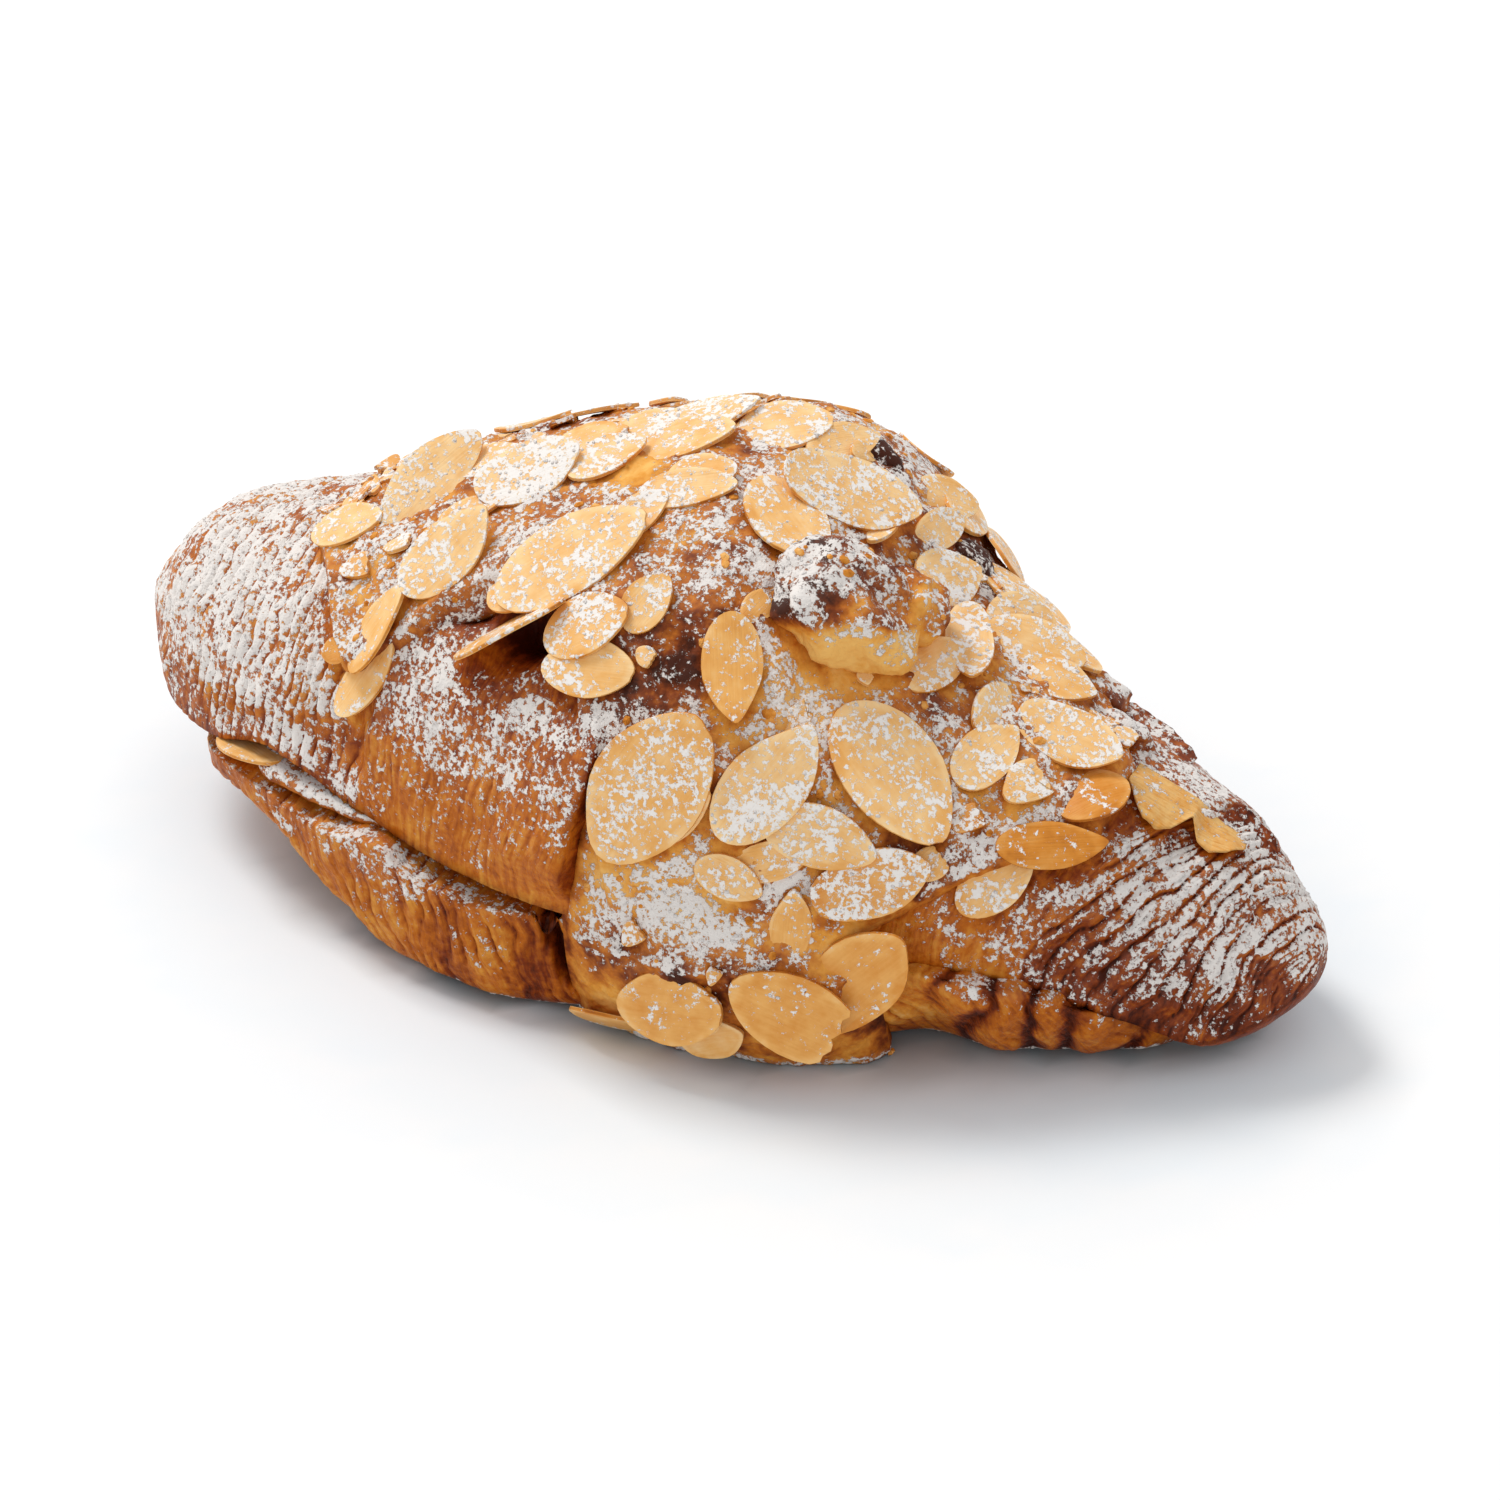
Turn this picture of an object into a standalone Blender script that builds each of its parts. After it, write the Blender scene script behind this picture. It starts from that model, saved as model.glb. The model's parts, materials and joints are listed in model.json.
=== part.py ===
"""An almond croissant: a day-old croissant cut open, filled with almond cream, closed again,
spread with more almond cream, covered with flaked almonds and baked a second time.

Blender works in metres, +Z up. The tables below are in millimetres and degrees. +X runs along
the roll to its slimmer end, -Y is the side that shows the cut, and the croissant lies on Z = 0.
A place on the roll is an along (millimetres on X) and a turn: 0 at the front edge of the upper
half, 0.5 over its crown, 1 at its back edge, and down to -1 at the floor in front of it.
"""

import math
import random

import bmesh
import bpy
import numpy as np
from mathutils import Matrix, Vector, noise

MM = 0.001

# ---------------------------------------------------------------- driving dimensions, mm
MIDDLE = (0.0, 6.0, 0.0)  # moves the box's middle onto the origin
LEFT_TIP, RIGHT_TIP = -73.5, 73.5
LEFT_ROUND, RIGHT_ROUND = 11.0, 12.0  # how far in from each tip the rounding reaches
BASE_LEFT, BASE_RIGHT = -62.0, 60.0
BASE_ROUND = 8.0
BASE_CORNER = 7.0  # radius under the lower half's sides
GAP = 0.35  # between two pieces that touch
SLIVER = 0.01  # faces thinner than this are dissolved after a cut
CREAM = 1.9  # thickness of the baked almond cream on top
CREAM_EDGE = 3.5  # width over which it thins out
SUNK = 0.6  # how far below the pastry's surface its border ends
ROOTED = 2.5  # how deep its solid starts inside the pastry, before that is cut away
HALF_GIRTH = 85.0  # about how long a turn from 0 to 1 is, over the crown
FLAKE = 0.9  # thickness of a flaked almond
FLAKE_SIDES = 10
ROLL_RINGS, ROLL_POINTS, ROLL_UNDER = 52, 22, 6
BASE_RINGS, BASE_SIDE, BASE_FLAT = 48, 5, 3
SPREAD_RINGS, SPREAD_POINTS = 40, 15
DRIP_RINGS, DRIP_POINTS = 16, 11

# The upper half: along, front edge, back edge, height of its edge, crown, height of its underside
ROLL = (
    (-74, -18.5, -6.0, 21.0, 27.0, 19.0),
    (-66, -24.0, 1.0, 17.5, 35.0, 14.0),
    (-56, -29.5, 7.0, 17.5, 39.5, 17.8),
    (-45, -33.5, 12.0, 21.5, 43.0, 20.5),
    (-34, -35.5, 17.0, 19.0, 47.5, 20.0),
    (-22, -38.5, 23.0, 17.5, 51.5, 19.5),
    (-10, -40.5, 29.0, 17.0, 54.3, 19.0),
    (2, -40.0, 32.0, 16.5, 56.3, 19.0),
    (12, -38.5, 29.0, 16.5, 54.3, 19.0),
    (22, -35.5, 23.5, 16.5, 46.5, 18.5),
    (33, -31.0, 18.0, 15.7, 39.3, 17.5),
    (44, -26.0, 14.0, 13.7, 34.0, 15.5),
    (56, -20.5, 9.5, 8.8, 29.5, 10.8),
    (64, -16.5, 7.0, 5.5, 26.0, 2.0),
    (74, -11.0, 3.0, 6.0, 18.0, 5.0),
)
# The lower half: along, front rim, back rim, height of the cut, height of its underside
BASE = (
    (-62, -27.0, -2.0, 13.2, 11.0),
    (-54, -31.0, 4.0, 15.4, 10.5),
    (-45, -35.0, 9.0, 16.0, 8.5),
    (-36, -39.0, 14.0, 16.0, 4.0),
    (-26, -42.0, 19.0, 15.7, 0.0),
    (-12, -43.5, 24.0, 15.5, 0.0),
    (0, -40.0, 28.0, 15.5, 0.0),
    (14, -34.5, 27.0, 15.5, 0.0),
    (28, -31.0, 22.0, 15.0, 0.0),
    (40, -27.5, 15.0, 13.6, 0.0),
    (50, -22.5, 9.0, 10.8, 0.0),
    (56, -19.5, 5.0, 7.4, 0.0),
    (60, -17.0, 2.0, 3.6, 0.0),
)
# The cream on top: along, turn of its front border, turn of its back border
SPREAD = (
    (-48, 0.40, 0.47),
    (-41, 0.28, 0.56),
    (-34, 0.14, 0.64),
    (-28, 0.16, 0.70),
    (-18, 0.20, 0.74),
    (-6, 0.17, 0.78),
    (4, -0.02, 0.80),
    (20, -0.05, 0.80),
    (32, 0.03, 0.75),
    (42, 0.16, 0.67),
    (52, 0.30, 0.48),
)
# Where the cream ran down the front: along, how far it stands out there
DRIP = ((-3, 0.5), (0, 3.0), (8, 4.5), (17, 5.0), (27, 4.5), (31, 3.5), (34.5, 0.5))
DRIP_TOP, DRIP_FOOT = 0.25, -0.97
DRIP_LEAN = 3.5  # how far it draws back towards its foot
DRIP_EDGE = 2.5  # width over which its sides thin out

# Folds of the pastry: the seam where a band starts is at along + slant * turn
LEFT_SEAM, LEFT_SLANT = -31.0, 14.0
RIGHT_SEAM, RIGHT_SLANT = 44.0, 25.0
LEFT_STEP, RIGHT_STEP = 2.2, 1.8
CLEFT = (-12.0, 0.22)  # a pit under a flake's edge
CLEFT_SIZE = (3.5, 0.035)
CLEFT_DEPTH = 3.0
CREASE_ALONG, CREASE_WIDTH, CREASE_DEPTH = 0.0, 1.6, 2.0
UNEVEN, UNEVEN_SPAN = 0.6, 14.0

# A browned lump of cream: along, turn, heading, and its half sizes
LUMP = (19.0, 0.37, 40.0)
LUMP_HALVES = (10.5, 7.0, 5.5)

# Flaked almonds as they lie, from the left end: along, turn, length, width, heading, tilt, lift.
# The heading turns from +X towards the back, tilt turns it about its long axis, lift raises an end.
FLAKES = (
    (-40, 0.37, 10, 5.5, 15, -10, 4),
    (-33, 0.42, 14.5, 7, 45, -40, 12),
    (-24, 0.33, 13.5, 7.5, 60, -18, 6),
    (-30, 0.22, 12, 5, 65, 12, 6),
    (-31, 0.16, 12.5, 5, 63, 0, 0),
    (-36, 0.18, 4.5, 3, 30, 0, 5),
    (-35, 0.30, 5, 3.5, 25, 0, 0),
    (-13, 0.24, 15, 6, 35, -55, 8),
    (-20, 0.44, 13, 8, 35, -22, 4),
    (-17, 0.51, 10, 6, 25, -8, 3),
    (-9, 0.32, 19, 10, 42, -8, 5),
    (-15, 0.30, 8, 6.5, 65, 8, 0),
    (-5, 0.49, 11.5, 7, 20, -12, 5),
    (-6, 0.54, 14, 8, 15, 0, 6),
    (3, 0.53, 12, 8, 30, -15, 8),
    (9, 0.54, 11, 6, 50, -30, 10),
    (0, 0.44, 8, 6, 38, -10, 0),
    (-1, 0.40, 12, 6, 22, -25, 3),
    (10, 0.41, 13, 9, -30, 5, 4),
    (13, 0.47, 17, 9, 10, -10, 4),
    (-4, 0.26, 10.5, 7.5, 33, 5, 6),
    (-3, 0.21, 10.5, 7.5, 10, 0, 0),
    (1, 0.27, 8, 5.5, 70, -5, 6),
    (12, 0.24, 13.5, 7, -68, 5, 5),
    (12, 0.32, 5.5, 3.5, 70, 0, 0),
    (11, 0.56, 5, 3.5, 60, -20, 0),
    (18, 0.64, 10, 7, 60, -20, 5),
    (17, 0.49, 6.5, 4, 70, -60, 0),
    (20, 0.56, 10, 6, 70, -25, 5),
    (24, 0.54, 10, 8, 60, -15, 0),
    (28, 0.42, 9.5, 6, 70, 5, 5),
    (29.5, 0.50, 11, 6, -62, -30, 2),
    (31.5, 0.60, 9, 6.5, 50, -20, 2),
    (34.5, 0.57, 12, 6.5, 22, -22, 6),
    (39, 0.56, 8.5, 6, 15, -15, 0),
    (35, 0.45, 7, 5, 85, -20, 0),
    (7, 0.12, 19, 13.5, 62, 0, 4),
    (10, 0.11, 10.5, 7, 50, 0, 8),
    (18, 0.17, 17, 9.5, 65, 5, 3),
    (24.5, 0.135, 14, 8, -10, -5, 5),
    (29, 0.26, 19, 12, -34, 3, 4),
    (20, 0.095, 10, 6, 26, 0, 2),
    (31, 0.12, 14, 8.5, 28, 0, 3),
    (23, 0.02, 9.5, 5, 85, 0, 0),
    (31, -0.06, 13.5, 8.5, 52, 0, 4),
    (24, -0.32, 17.5, 10.5, -24, -6, 5),
    (11, -0.38, 12, 8.5, 5, 0, 3),
    (15, -0.42, 8, 6, 40, 0, 8),
    (18, -0.66, 8, 6, 17, -20, 0),
    (5, -0.72, 10, 6, 5, -30, 0),
    (36, 0.19, 5.5, 4, 50, 0, 0),
    (36, 0.36, 10.5, 6.5, 70, 3, 3),
    (43, 0.46, 14, 7.5, -8, -12, 4),
    (42, 0.36, 8, 6, 50, 0, 0),
    (48, 0.38, 8.5, 6, 40, 25, 8),
    (46, 0.26, 13.5, 6, 20, 0, 5),
    (43, 0.19, 7, 6, 50, 5, 0),
)
BACK_FLAKES = 11  # more of them lie on the side away from the cut
BACK_SEED = 8
BACK_TURNS = (0.62, 0.74)
BACK_LENGTHS = (10.0, 14.0)
FILLING_ENDS = (-53.0, 45.0)
# The flake that sticks out of the cut at the left end: along, across, height, then as above
CUT_FLAKE = (-47.5, -29.8, 18.0, 11.5, 7.0, -26.0, 4.0, 9.0)

CRUST_BROWN = (0.42, 0.17, 0.05, 1)
CRUST_LIGHT = (0.55, 0.28, 0.09, 1)
CREAM_COLOUR = (0.62, 0.42, 0.20, 1)
ALMOND_COLOUR = (0.80, 0.60, 0.34, 1)

# ---------------------------------------------------------------- curves and surfaces, in mm


def through(table, column, place):
    """A smooth curve through one column of a table whose first column is the place."""
    table = np.asarray(table, float)
    places, values = table[:, 0], table[:, column]
    slopes = np.gradient(values, places)
    place = np.clip(place, places[0], places[-1])
    i = np.clip(np.searchsorted(places, place) - 1, 0, len(places) - 2)
    span = places[i + 1] - places[i]
    s = (place - places[i]) / span
    near = (1 + 2 * s) * (1 - s) ** 2 * values[i] + s * (1 - s) ** 2 * span * slopes[i]
    far = s * s * (3 - 2 * s) * values[i + 1] - s * s * (1 - s) * span * slopes[i + 1]
    return near + far


def ease(amount):
    """0 to 1 with a soft start and end."""
    s = np.clip(amount, 0, 1)
    return s * s * (3 - 2 * s)


def end_rounding(along, left, right, left_reach, right_reach):
    """1 along the body, falling to 0 at each tip as a quarter ellipse."""
    past = np.maximum((left + left_reach - along) / left_reach, (along - right + right_reach) / right_reach)
    return np.sqrt(1 - np.clip(past, 0, 1) ** 2)


def roll_shape(along, turn):
    """The upper half's outer surface without its folds."""
    front, back, edge, crown = (through(ROLL, column, along) for column in (1, 2, 3, 4))
    middle, level = (front + back) / 2, (edge + crown) / 2
    small = end_rounding(along, LEFT_TIP, RIGHT_TIP, LEFT_ROUND, RIGHT_ROUND)
    angle = math.pi * np.clip(turn, 0, 1)
    across = middle - (back - front) / 2 * np.cos(angle)
    height = edge + (crown - edge) * np.sin(angle) ** 0.8
    return np.stack([along + 0 * turn, middle + (across - middle) * small, level + (height - level) * small], -1)


def front_wall(along, turn):
    """The line from the upper half's front edge down to the floor, for turns from 0 to -1."""
    down = np.clip(-turn, 0, 1)
    across = through(ROLL, 1, along) + DRIP_LEAN * down**2
    return np.stack([along + 0 * turn, across, through(ROLL, 3, along) * (1 - down)], -1)


def shape(along, turn):
    along, turn = np.broadcast_arrays(np.asarray(along, float), np.asarray(turn, float))
    return np.where((turn < 0)[..., None], front_wall(along, turn), roll_shape(along, turn))


def outward(along, turn):
    """Unit vectors that point out of the roll."""
    step_along, step_turn = 0.5, 0.01
    inside = np.clip(along, LEFT_TIP + 1.5, RIGHT_TIP - 1.5)
    run = shape(inside + step_along, turn) - shape(inside - step_along, turn)
    rise = shape(inside, turn + step_turn) - shape(inside, turn - step_turn)
    out = np.cross(run, rise)
    return out / np.linalg.norm(out, axis=-1, keepdims=True)


def rough(points, span):
    """Even noise from -1 to 1 that changes over about this many millimetres."""
    flat = points.reshape(-1, 3) / span
    return np.array([noise.noise(Vector(point)) for point in flat]).reshape(points.shape[:-1])


def folds(along, turn):
    """How far the pastry stands out from the plain roll."""
    before_left = LEFT_SEAM + LEFT_SLANT * turn - along
    after_right = along - RIGHT_SEAM - RIGHT_SLANT * turn
    left = -LEFT_STEP * ease(before_left / 2.5) * np.exp(-np.clip(before_left, 0, None) / 12)
    right = -RIGHT_STEP * ease(after_right / 5) * np.exp(-np.clip(after_right, 0, None) / 12)
    pit = ((along - CLEFT[0]) / CLEFT_SIZE[0]) ** 2 + ((turn - CLEFT[1]) / CLEFT_SIZE[1]) ** 2
    crease = np.exp(-(((along - CREASE_ALONG) / CREASE_WIDTH) ** 2)) * ease((0.2 - turn) / 0.08)
    return left + right - CLEFT_DEPTH * np.exp(-pit) - CREASE_DEPTH * crease


def pastry(along, turn):
    """The upper half's outer surface with its folds."""
    along, turn = np.broadcast_arrays(np.asarray(along, float), np.asarray(turn, float))
    points = shape(along, turn)
    calm = end_rounding(along, LEFT_TIP, RIGHT_TIP, LEFT_ROUND, RIGHT_ROUND) ** 2
    out = folds(along, turn) + UNEVEN * rough(points, UNEVEN_SPAN)
    return points + outward(along, turn) * (out * calm * ease(turn / 0.04))[..., None]


def spread_depth(along, turn):
    """Thickness of the cream on top, which sinks into the pastry at its border."""
    to_front = (turn - through(SPREAD, 1, along)) * HALF_GIRTH
    to_back = (through(SPREAD, 2, along) - turn) * HALF_GIRTH
    to_end = np.minimum(along - SPREAD[0][0], SPREAD[-1][0] - along)
    to_border = np.minimum(np.minimum(to_front, to_back), to_end)
    lumps = 1 + 0.35 * rough(shape(along, turn), 8.0)
    return (CREAM * lumps + SUNK) * ease(to_border / CREAM_EDGE) - SUNK


def drip_depth(along, turn):
    """Thickness of the cream that ran down the front, its sides wavy."""
    points = shape(along, turn)
    sides = np.minimum(along - DRIP[0][0], DRIP[-1][0] - along) + 1.5 * rough(points + 40, 9.0)
    stands = through(DRIP, 1, along) * ease((DRIP_TOP - turn) / 0.25) * (1 - 0.35 * np.clip(-turn, 0, 1))
    lumps = 1 + 0.4 * rough(points, 9.0)
    return (stands * lumps + SUNK) * ease(sides / DRIP_EDGE) - SUNK


# ---------------------------------------------------------------- meshes


def material(name, colour, roughness):
    made = bpy.data.materials.new(name)
    made.use_nodes = True
    shader = made.node_tree.nodes["Principled BSDF"]
    shader.inputs["Base Color"].default_value = colour
    shader.inputs["Roughness"].default_value = roughness
    shader.inputs["Metallic"].default_value = 0.0
    return made


def solid(name, points, faces, surface=None):
    """An object from points in millimetres and its faces, turned to face out."""
    mesh = bpy.data.meshes.new(name)
    mesh.from_pydata([Vector(point) * MM for point in points], [], faces)
    body = bmesh.new()
    body.from_mesh(mesh)
    bmesh.ops.triangulate(body, faces=body.faces)
    bmesh.ops.recalc_face_normals(body, faces=body.faces)
    body.to_mesh(mesh)
    body.free()
    mesh.shade_smooth()
    if surface:
        mesh.materials.append(surface)
    made = bpy.data.objects.new(name, mesh)
    bpy.context.scene.collection.objects.link(made)
    return made


def loft(name, rings, surface=None):
    """A closed solid over rings of points, with a point in the middle of each end ring."""
    count, size = rings.shape[:2]
    points = list(rings.reshape(-1, 3)) + [rings[0].mean(0), rings[-1].mean(0)]
    faces = []
    for ring in range(count - 1):
        for i in range(size):
            a, b = ring * size + i, ring * size + (i + 1) % size
            faces.append((a, b, b + size, a + size))
    for i in range(size):
        faces.append((i, (i + 1) % size, count * size))
        last = (count - 1) * size
        faces.append((last + i, last + (i + 1) % size, count * size + 1))
    return solid(name, points, faces, surface)


def blanket(name, along, turn, depth):
    """A closed solid from inside the pastry out to the given depth of cream over it."""
    out = outward(along, turn)
    outer = shape(along, turn) + out * depth[..., None]
    inner = shape(along, turn) - out * ROOTED
    rows, columns = along.shape
    points = np.concatenate([outer.reshape(-1, 3), inner.reshape(-1, 3)])
    lower = rows * columns
    faces = []
    for i in range(rows - 1):
        for j in range(columns - 1):
            a = i * columns + j
            faces.append((a, a + 1, a + columns + 1, a + columns))
            faces.append(tuple(lower + k for k in (a, a + columns, a + columns + 1, a + 1)))
    border = [(i * columns, (i + 1) * columns) for i in range(rows - 1)]
    border += [(i * columns + columns - 1, (i + 1) * columns + columns - 1) for i in range(rows - 1)]
    border += [(j, j + 1) for j in range(columns - 1)]
    border += [((rows - 1) * columns + j, (rows - 1) * columns + j + 1) for j in range(columns - 1)]
    for a, b in border:
        faces.append((a, b, lower + b, lower + a))
    return solid(name, points, faces)


def flake_mesh(length, width, curl):
    """A sliced almond: a thin oval, pointed at one end, its middle raised a little."""
    points, faces = [], []
    for side in (0.5, -0.5):
        for i in range(FLAKE_SIDES):
            angle = 2 * math.pi * (i + 0.5) / FLAKE_SIDES
            u, v = math.cos(angle), math.sin(angle)
            point_end = 1 - 0.28 * max(u, 0) ** 2
            points.append((u * length / 2, v * width / 2 * point_end, side * FLAKE - curl * u * u))
        points.append((0, 0, side * FLAKE))
    middle, below = FLAKE_SIDES, FLAKE_SIDES + 1
    for i in range(FLAKE_SIDES):
        j = (i + 1) % FLAKE_SIDES
        faces.append((i, j, middle))
        faces.append((below + i, below + j, below + FLAKE_SIDES))
        faces.append((i, j, below + j, below + i))
    return points, faces


def turned(centre, up, heading, tilt, lift):
    """The pose of a flake on a surface whose normal is up."""
    along = Vector((1, 0, 0)) - up * up.x
    along.normalize()
    frame = Matrix((along, up.cross(along), up)).transposed().to_4x4()
    spin = Matrix.Rotation(math.radians(heading), 4, "Z")
    raised = Matrix.Rotation(math.radians(-lift), 4, "Y")
    rolled = Matrix.Rotation(math.radians(-tilt), 4, "X")
    return Matrix.Translation(centre) @ frame @ spin @ raised @ rolled


def flake(name, pose, length, width, curl):
    points, faces = flake_mesh(length, width, curl)
    return solid(name, [pose @ Vector(point) for point in points], faces)


def flake_on_roll(number, along, turn, length, width, heading, tilt, lift):
    place = np.float64(along), np.float64(turn)
    ground = Vector(shape(*place))
    up = Vector(outward(*place))
    cream = max(float(spread_depth(*place)), float(drip_depth(*place)), 0.3)
    height = cream + 0.2 + 0.25 * width * math.sin(math.radians(abs(tilt)))
    return flake(
        f"flake{number:02d}", turned(ground + up * height, up, heading, tilt, lift), length, width, 0.05 * length
    )


# ---------------------------------------------------------------- joining and cutting


def combined(target, others, operation):
    """The target joined with, or cut by, all of the others, which are used up."""
    group = bpy.data.collections.new("used_up")
    bpy.context.scene.collection.children.link(group)
    for other in others:
        group.objects.link(other)
    boolean = target.modifiers.new(operation, "BOOLEAN")
    boolean.operation = operation
    boolean.operand_type = "COLLECTION"
    boolean.collection = group
    boolean.solver = "EXACT"
    graph = bpy.context.evaluated_depsgraph_get()
    result = bpy.data.meshes.new_from_object(target.evaluated_get(graph))
    target.modifiers.clear()
    target.data = result
    for other in others:
        bpy.data.objects.remove(other)
    bpy.data.collections.remove(group)


def clearance(name, original):
    """A copy of a solid, larger all round by the gap."""
    copy = bpy.data.objects.new(name, original.data.copy())
    bpy.context.scene.collection.objects.link(copy)
    body = bmesh.new()
    body.from_mesh(copy.data)
    for vertex, normal in [(v, v.normal.copy()) for v in body.verts]:
        vertex.co += normal * GAP * MM
    body.to_mesh(copy.data)
    body.free()
    return copy


def floor():
    """What keeps a flake at the foot from reaching below the surface that the croissant lies on."""
    length, width, depth = 200.0, 120.0, 20.0
    corners = [(x, y, z) for z in (GAP - depth, GAP) for y in (-width, width) for x in (-length, length)]
    sides = [(0, 1, 3, 2), (4, 5, 7, 6), (0, 1, 5, 4), (2, 3, 7, 6), (0, 2, 6, 4), (1, 3, 7, 5)]
    return solid("floor", corners, sides)


def keep_largest(target):
    """Drops the scraps that a cut left loose, also those that touch the rest at a point only."""
    body = bmesh.new()
    body.from_mesh(target.data)
    bmesh.ops.dissolve_degenerate(body, dist=SLIVER * MM, edges=body.edges)
    bmesh.ops.triangulate(body, faces=body.faces)
    left, islands = set(body.faces), []
    while left:
        edge_of_island = [left.pop()]
        island = list(edge_of_island)
        while edge_of_island:
            for edge in edge_of_island.pop().edges:
                new = [face for face in edge.link_faces if face in left]
                left.difference_update(new)
                edge_of_island += new
                island += new
        islands.append(island)
    islands.sort(key=len)
    scraps = [face for island in islands[:-1] for face in island]
    bmesh.ops.delete(body, geom=scraps, context="FACES")
    body.to_mesh(target.data)
    body.free()


# ---------------------------------------------------------------- the sub-parts


def upper_half():
    """The roll above the cut, whose two ends reach down past it."""
    along = LEFT_TIP + (RIGHT_TIP - LEFT_TIP) * (1 - np.cos(np.linspace(0.03, 0.97, ROLL_RINGS) * math.pi)) / 2
    along = 0.5 * along + 0.5 * np.linspace(LEFT_TIP + 0.4, RIGHT_TIP - 0.4, ROLL_RINGS)
    turn = np.linspace(0, 1, ROLL_POINTS)
    over = pastry(along[:, None], turn[None, :])
    inward = (1 - np.cos(np.linspace(0, math.pi, ROLL_UNDER + 2)[1:-1])) / 2
    front, back = over[:, :1], over[:, -1:]
    under = back + (front - back) * inward[None, :, None]
    level = through(ROLL, 5, along)[:, None]
    small = end_rounding(along, LEFT_TIP, RIGHT_TIP, LEFT_ROUND, RIGHT_ROUND)[:, None]
    middle = (over[:, 0, 2] + over[:, -1, 2])[:, None] / 2
    hollow = np.where(level > middle, 0.12, 0.5)  # hollow over the filling, round under the ends
    belly = np.sin(inward * math.pi)[None, :] ** hollow
    under[..., 2] = middle + (level - middle) * belly * small
    return loft("upper_half", np.concatenate([over, under], 1), material("crust", CRUST_BROWN, 0.5))


def base_ring(along):
    """One section of the lower half: down the front, across the bottom, up the back."""
    front, back, cut, floor = (float(through(BASE, column, along)) for column in (1, 2, 3, 4))
    floor = max(floor, 0.0)
    small = float(end_rounding(along, BASE_LEFT, BASE_RIGHT, BASE_ROUND, BASE_ROUND))
    corner = min(BASE_CORNER, 0.8 * (cut - floor))
    side = [math.pi / 2 * i / BASE_SIDE for i in range(BASE_SIDE + 1)]
    down = [(front + corner * (1 - math.cos(a)), cut - (cut - floor) * math.sin(a)) for a in side]
    up = [(back - corner * (1 - math.cos(a)), cut - (cut - floor) * math.sin(a)) for a in reversed(side)]
    flat = [(down[-1][0] + (up[0][0] - down[-1][0]) * i / BASE_FLAT, floor) for i in range(1, BASE_FLAT)]
    middle = (front + back) / 2
    return [(along, middle + (y - middle) * small, z) for y, z in down + flat + up]


def lower_half():
    """The sole of the croissant, flat on top where the knife went through."""
    along = np.linspace(BASE_LEFT + 0.3, BASE_RIGHT - 0.3, BASE_RINGS)
    rings = np.array([base_ring(x) for x in along])
    return loft("lower_half", rings, material("sole", CRUST_LIGHT, 0.55))


def filling():
    """The almond cream between the halves, with a flake stuck in its front edge."""
    along = np.linspace(*FILLING_ENDS, 26)
    ease_ends = end_rounding(along, FILLING_ENDS[0] - 2, FILLING_ENDS[1] + 2, 12.0, 12.0)
    rings = []
    for x, small in zip(along, ease_ends):
        low = float(through(BASE, 3, x)) + GAP
        high = float(through(ROLL, 5, x)) - 1.2
        front = float(through(ROLL, 1, x)) + 3.0
        back = float(through(BASE, 2, x)) - 5.0
        middle = (front + back) / 2
        front, back = middle + (front - middle) * small, middle + (back - middle) * small
        soft = 0.35 * (high - low)
        rings.append(
            [(x, front + 1, low), (x, front, low + soft), (x, front + 1.5, high), (x, middle, high)]
            + [(x, back - 1.5, high), (x, back, low + soft), (x, back - 1, low), (x, middle, low)]
        )
    made = loft("filling", np.array(rings), material("almond_cream", CREAM_COLOUR, 0.7))
    x, y, z, length, width, heading, tilt, lift = CUT_FLAKE
    pose = turned(Vector((x, y, z)), Vector((0, 0, 1)), heading, tilt, lift)
    combined(made, [flake("cut_flake", pose, length, width, 0.3)], "UNION")
    return made


def spread():
    """The cream over the crown."""
    along = np.linspace(SPREAD[0][0], SPREAD[-1][0], SPREAD_RINGS)[:, None]
    across = np.linspace(0, 1, SPREAD_POINTS)[None, :]
    front, back = through(SPREAD, 1, along), through(SPREAD, 2, along)
    turn = front + (back - front) * across
    along, turn = np.broadcast_arrays(along, turn)
    return blanket("topping", along, turn, spread_depth(along, turn))


def drip():
    """The cream that ran down the front to the floor."""
    along = np.linspace(DRIP[0][0], DRIP[-1][0], DRIP_RINGS)[:, None]
    turn = np.linspace(DRIP_FOOT, DRIP_TOP, DRIP_POINTS)[None, :]
    along, turn = np.broadcast_arrays(along, turn)
    return blanket("drip", along, turn, drip_depth(along, turn))


def lump():
    """The lump of cream near the crown that browned most."""
    along, turn, heading = LUMP
    body = bmesh.new()
    bmesh.ops.create_icosphere(body, subdivisions=2, radius=1.0)
    pose = turned(Vector(shape(along, turn)), Vector(outward(along, turn)), heading, 0, 0)
    sizes = Matrix.Diagonal((*LUMP_HALVES, 1))
    points = [pose @ sizes @ (v.co * (1 + 0.45 * noise.noise(v.co * 1.7))) for v in body.verts]
    faces = [tuple(v.index for v in face.verts) for face in body.faces]
    body.free()
    return solid("lump", points, faces)


def back_flakes():
    """Flakes on the side away from the cut, spaced along it."""
    dice = random.Random(BACK_SEED)
    rows = []
    for i in range(BACK_FLAKES):
        along = -30 + 62 * i / (BACK_FLAKES - 1)
        length = dice.uniform(*BACK_LENGTHS)
        rows.append(
            (along, dice.uniform(*BACK_TURNS), length, 0.6 * length)
            + (dice.uniform(-60, 60), dice.uniform(-12, 12), dice.uniform(0, 6))
        )
    return rows


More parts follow.
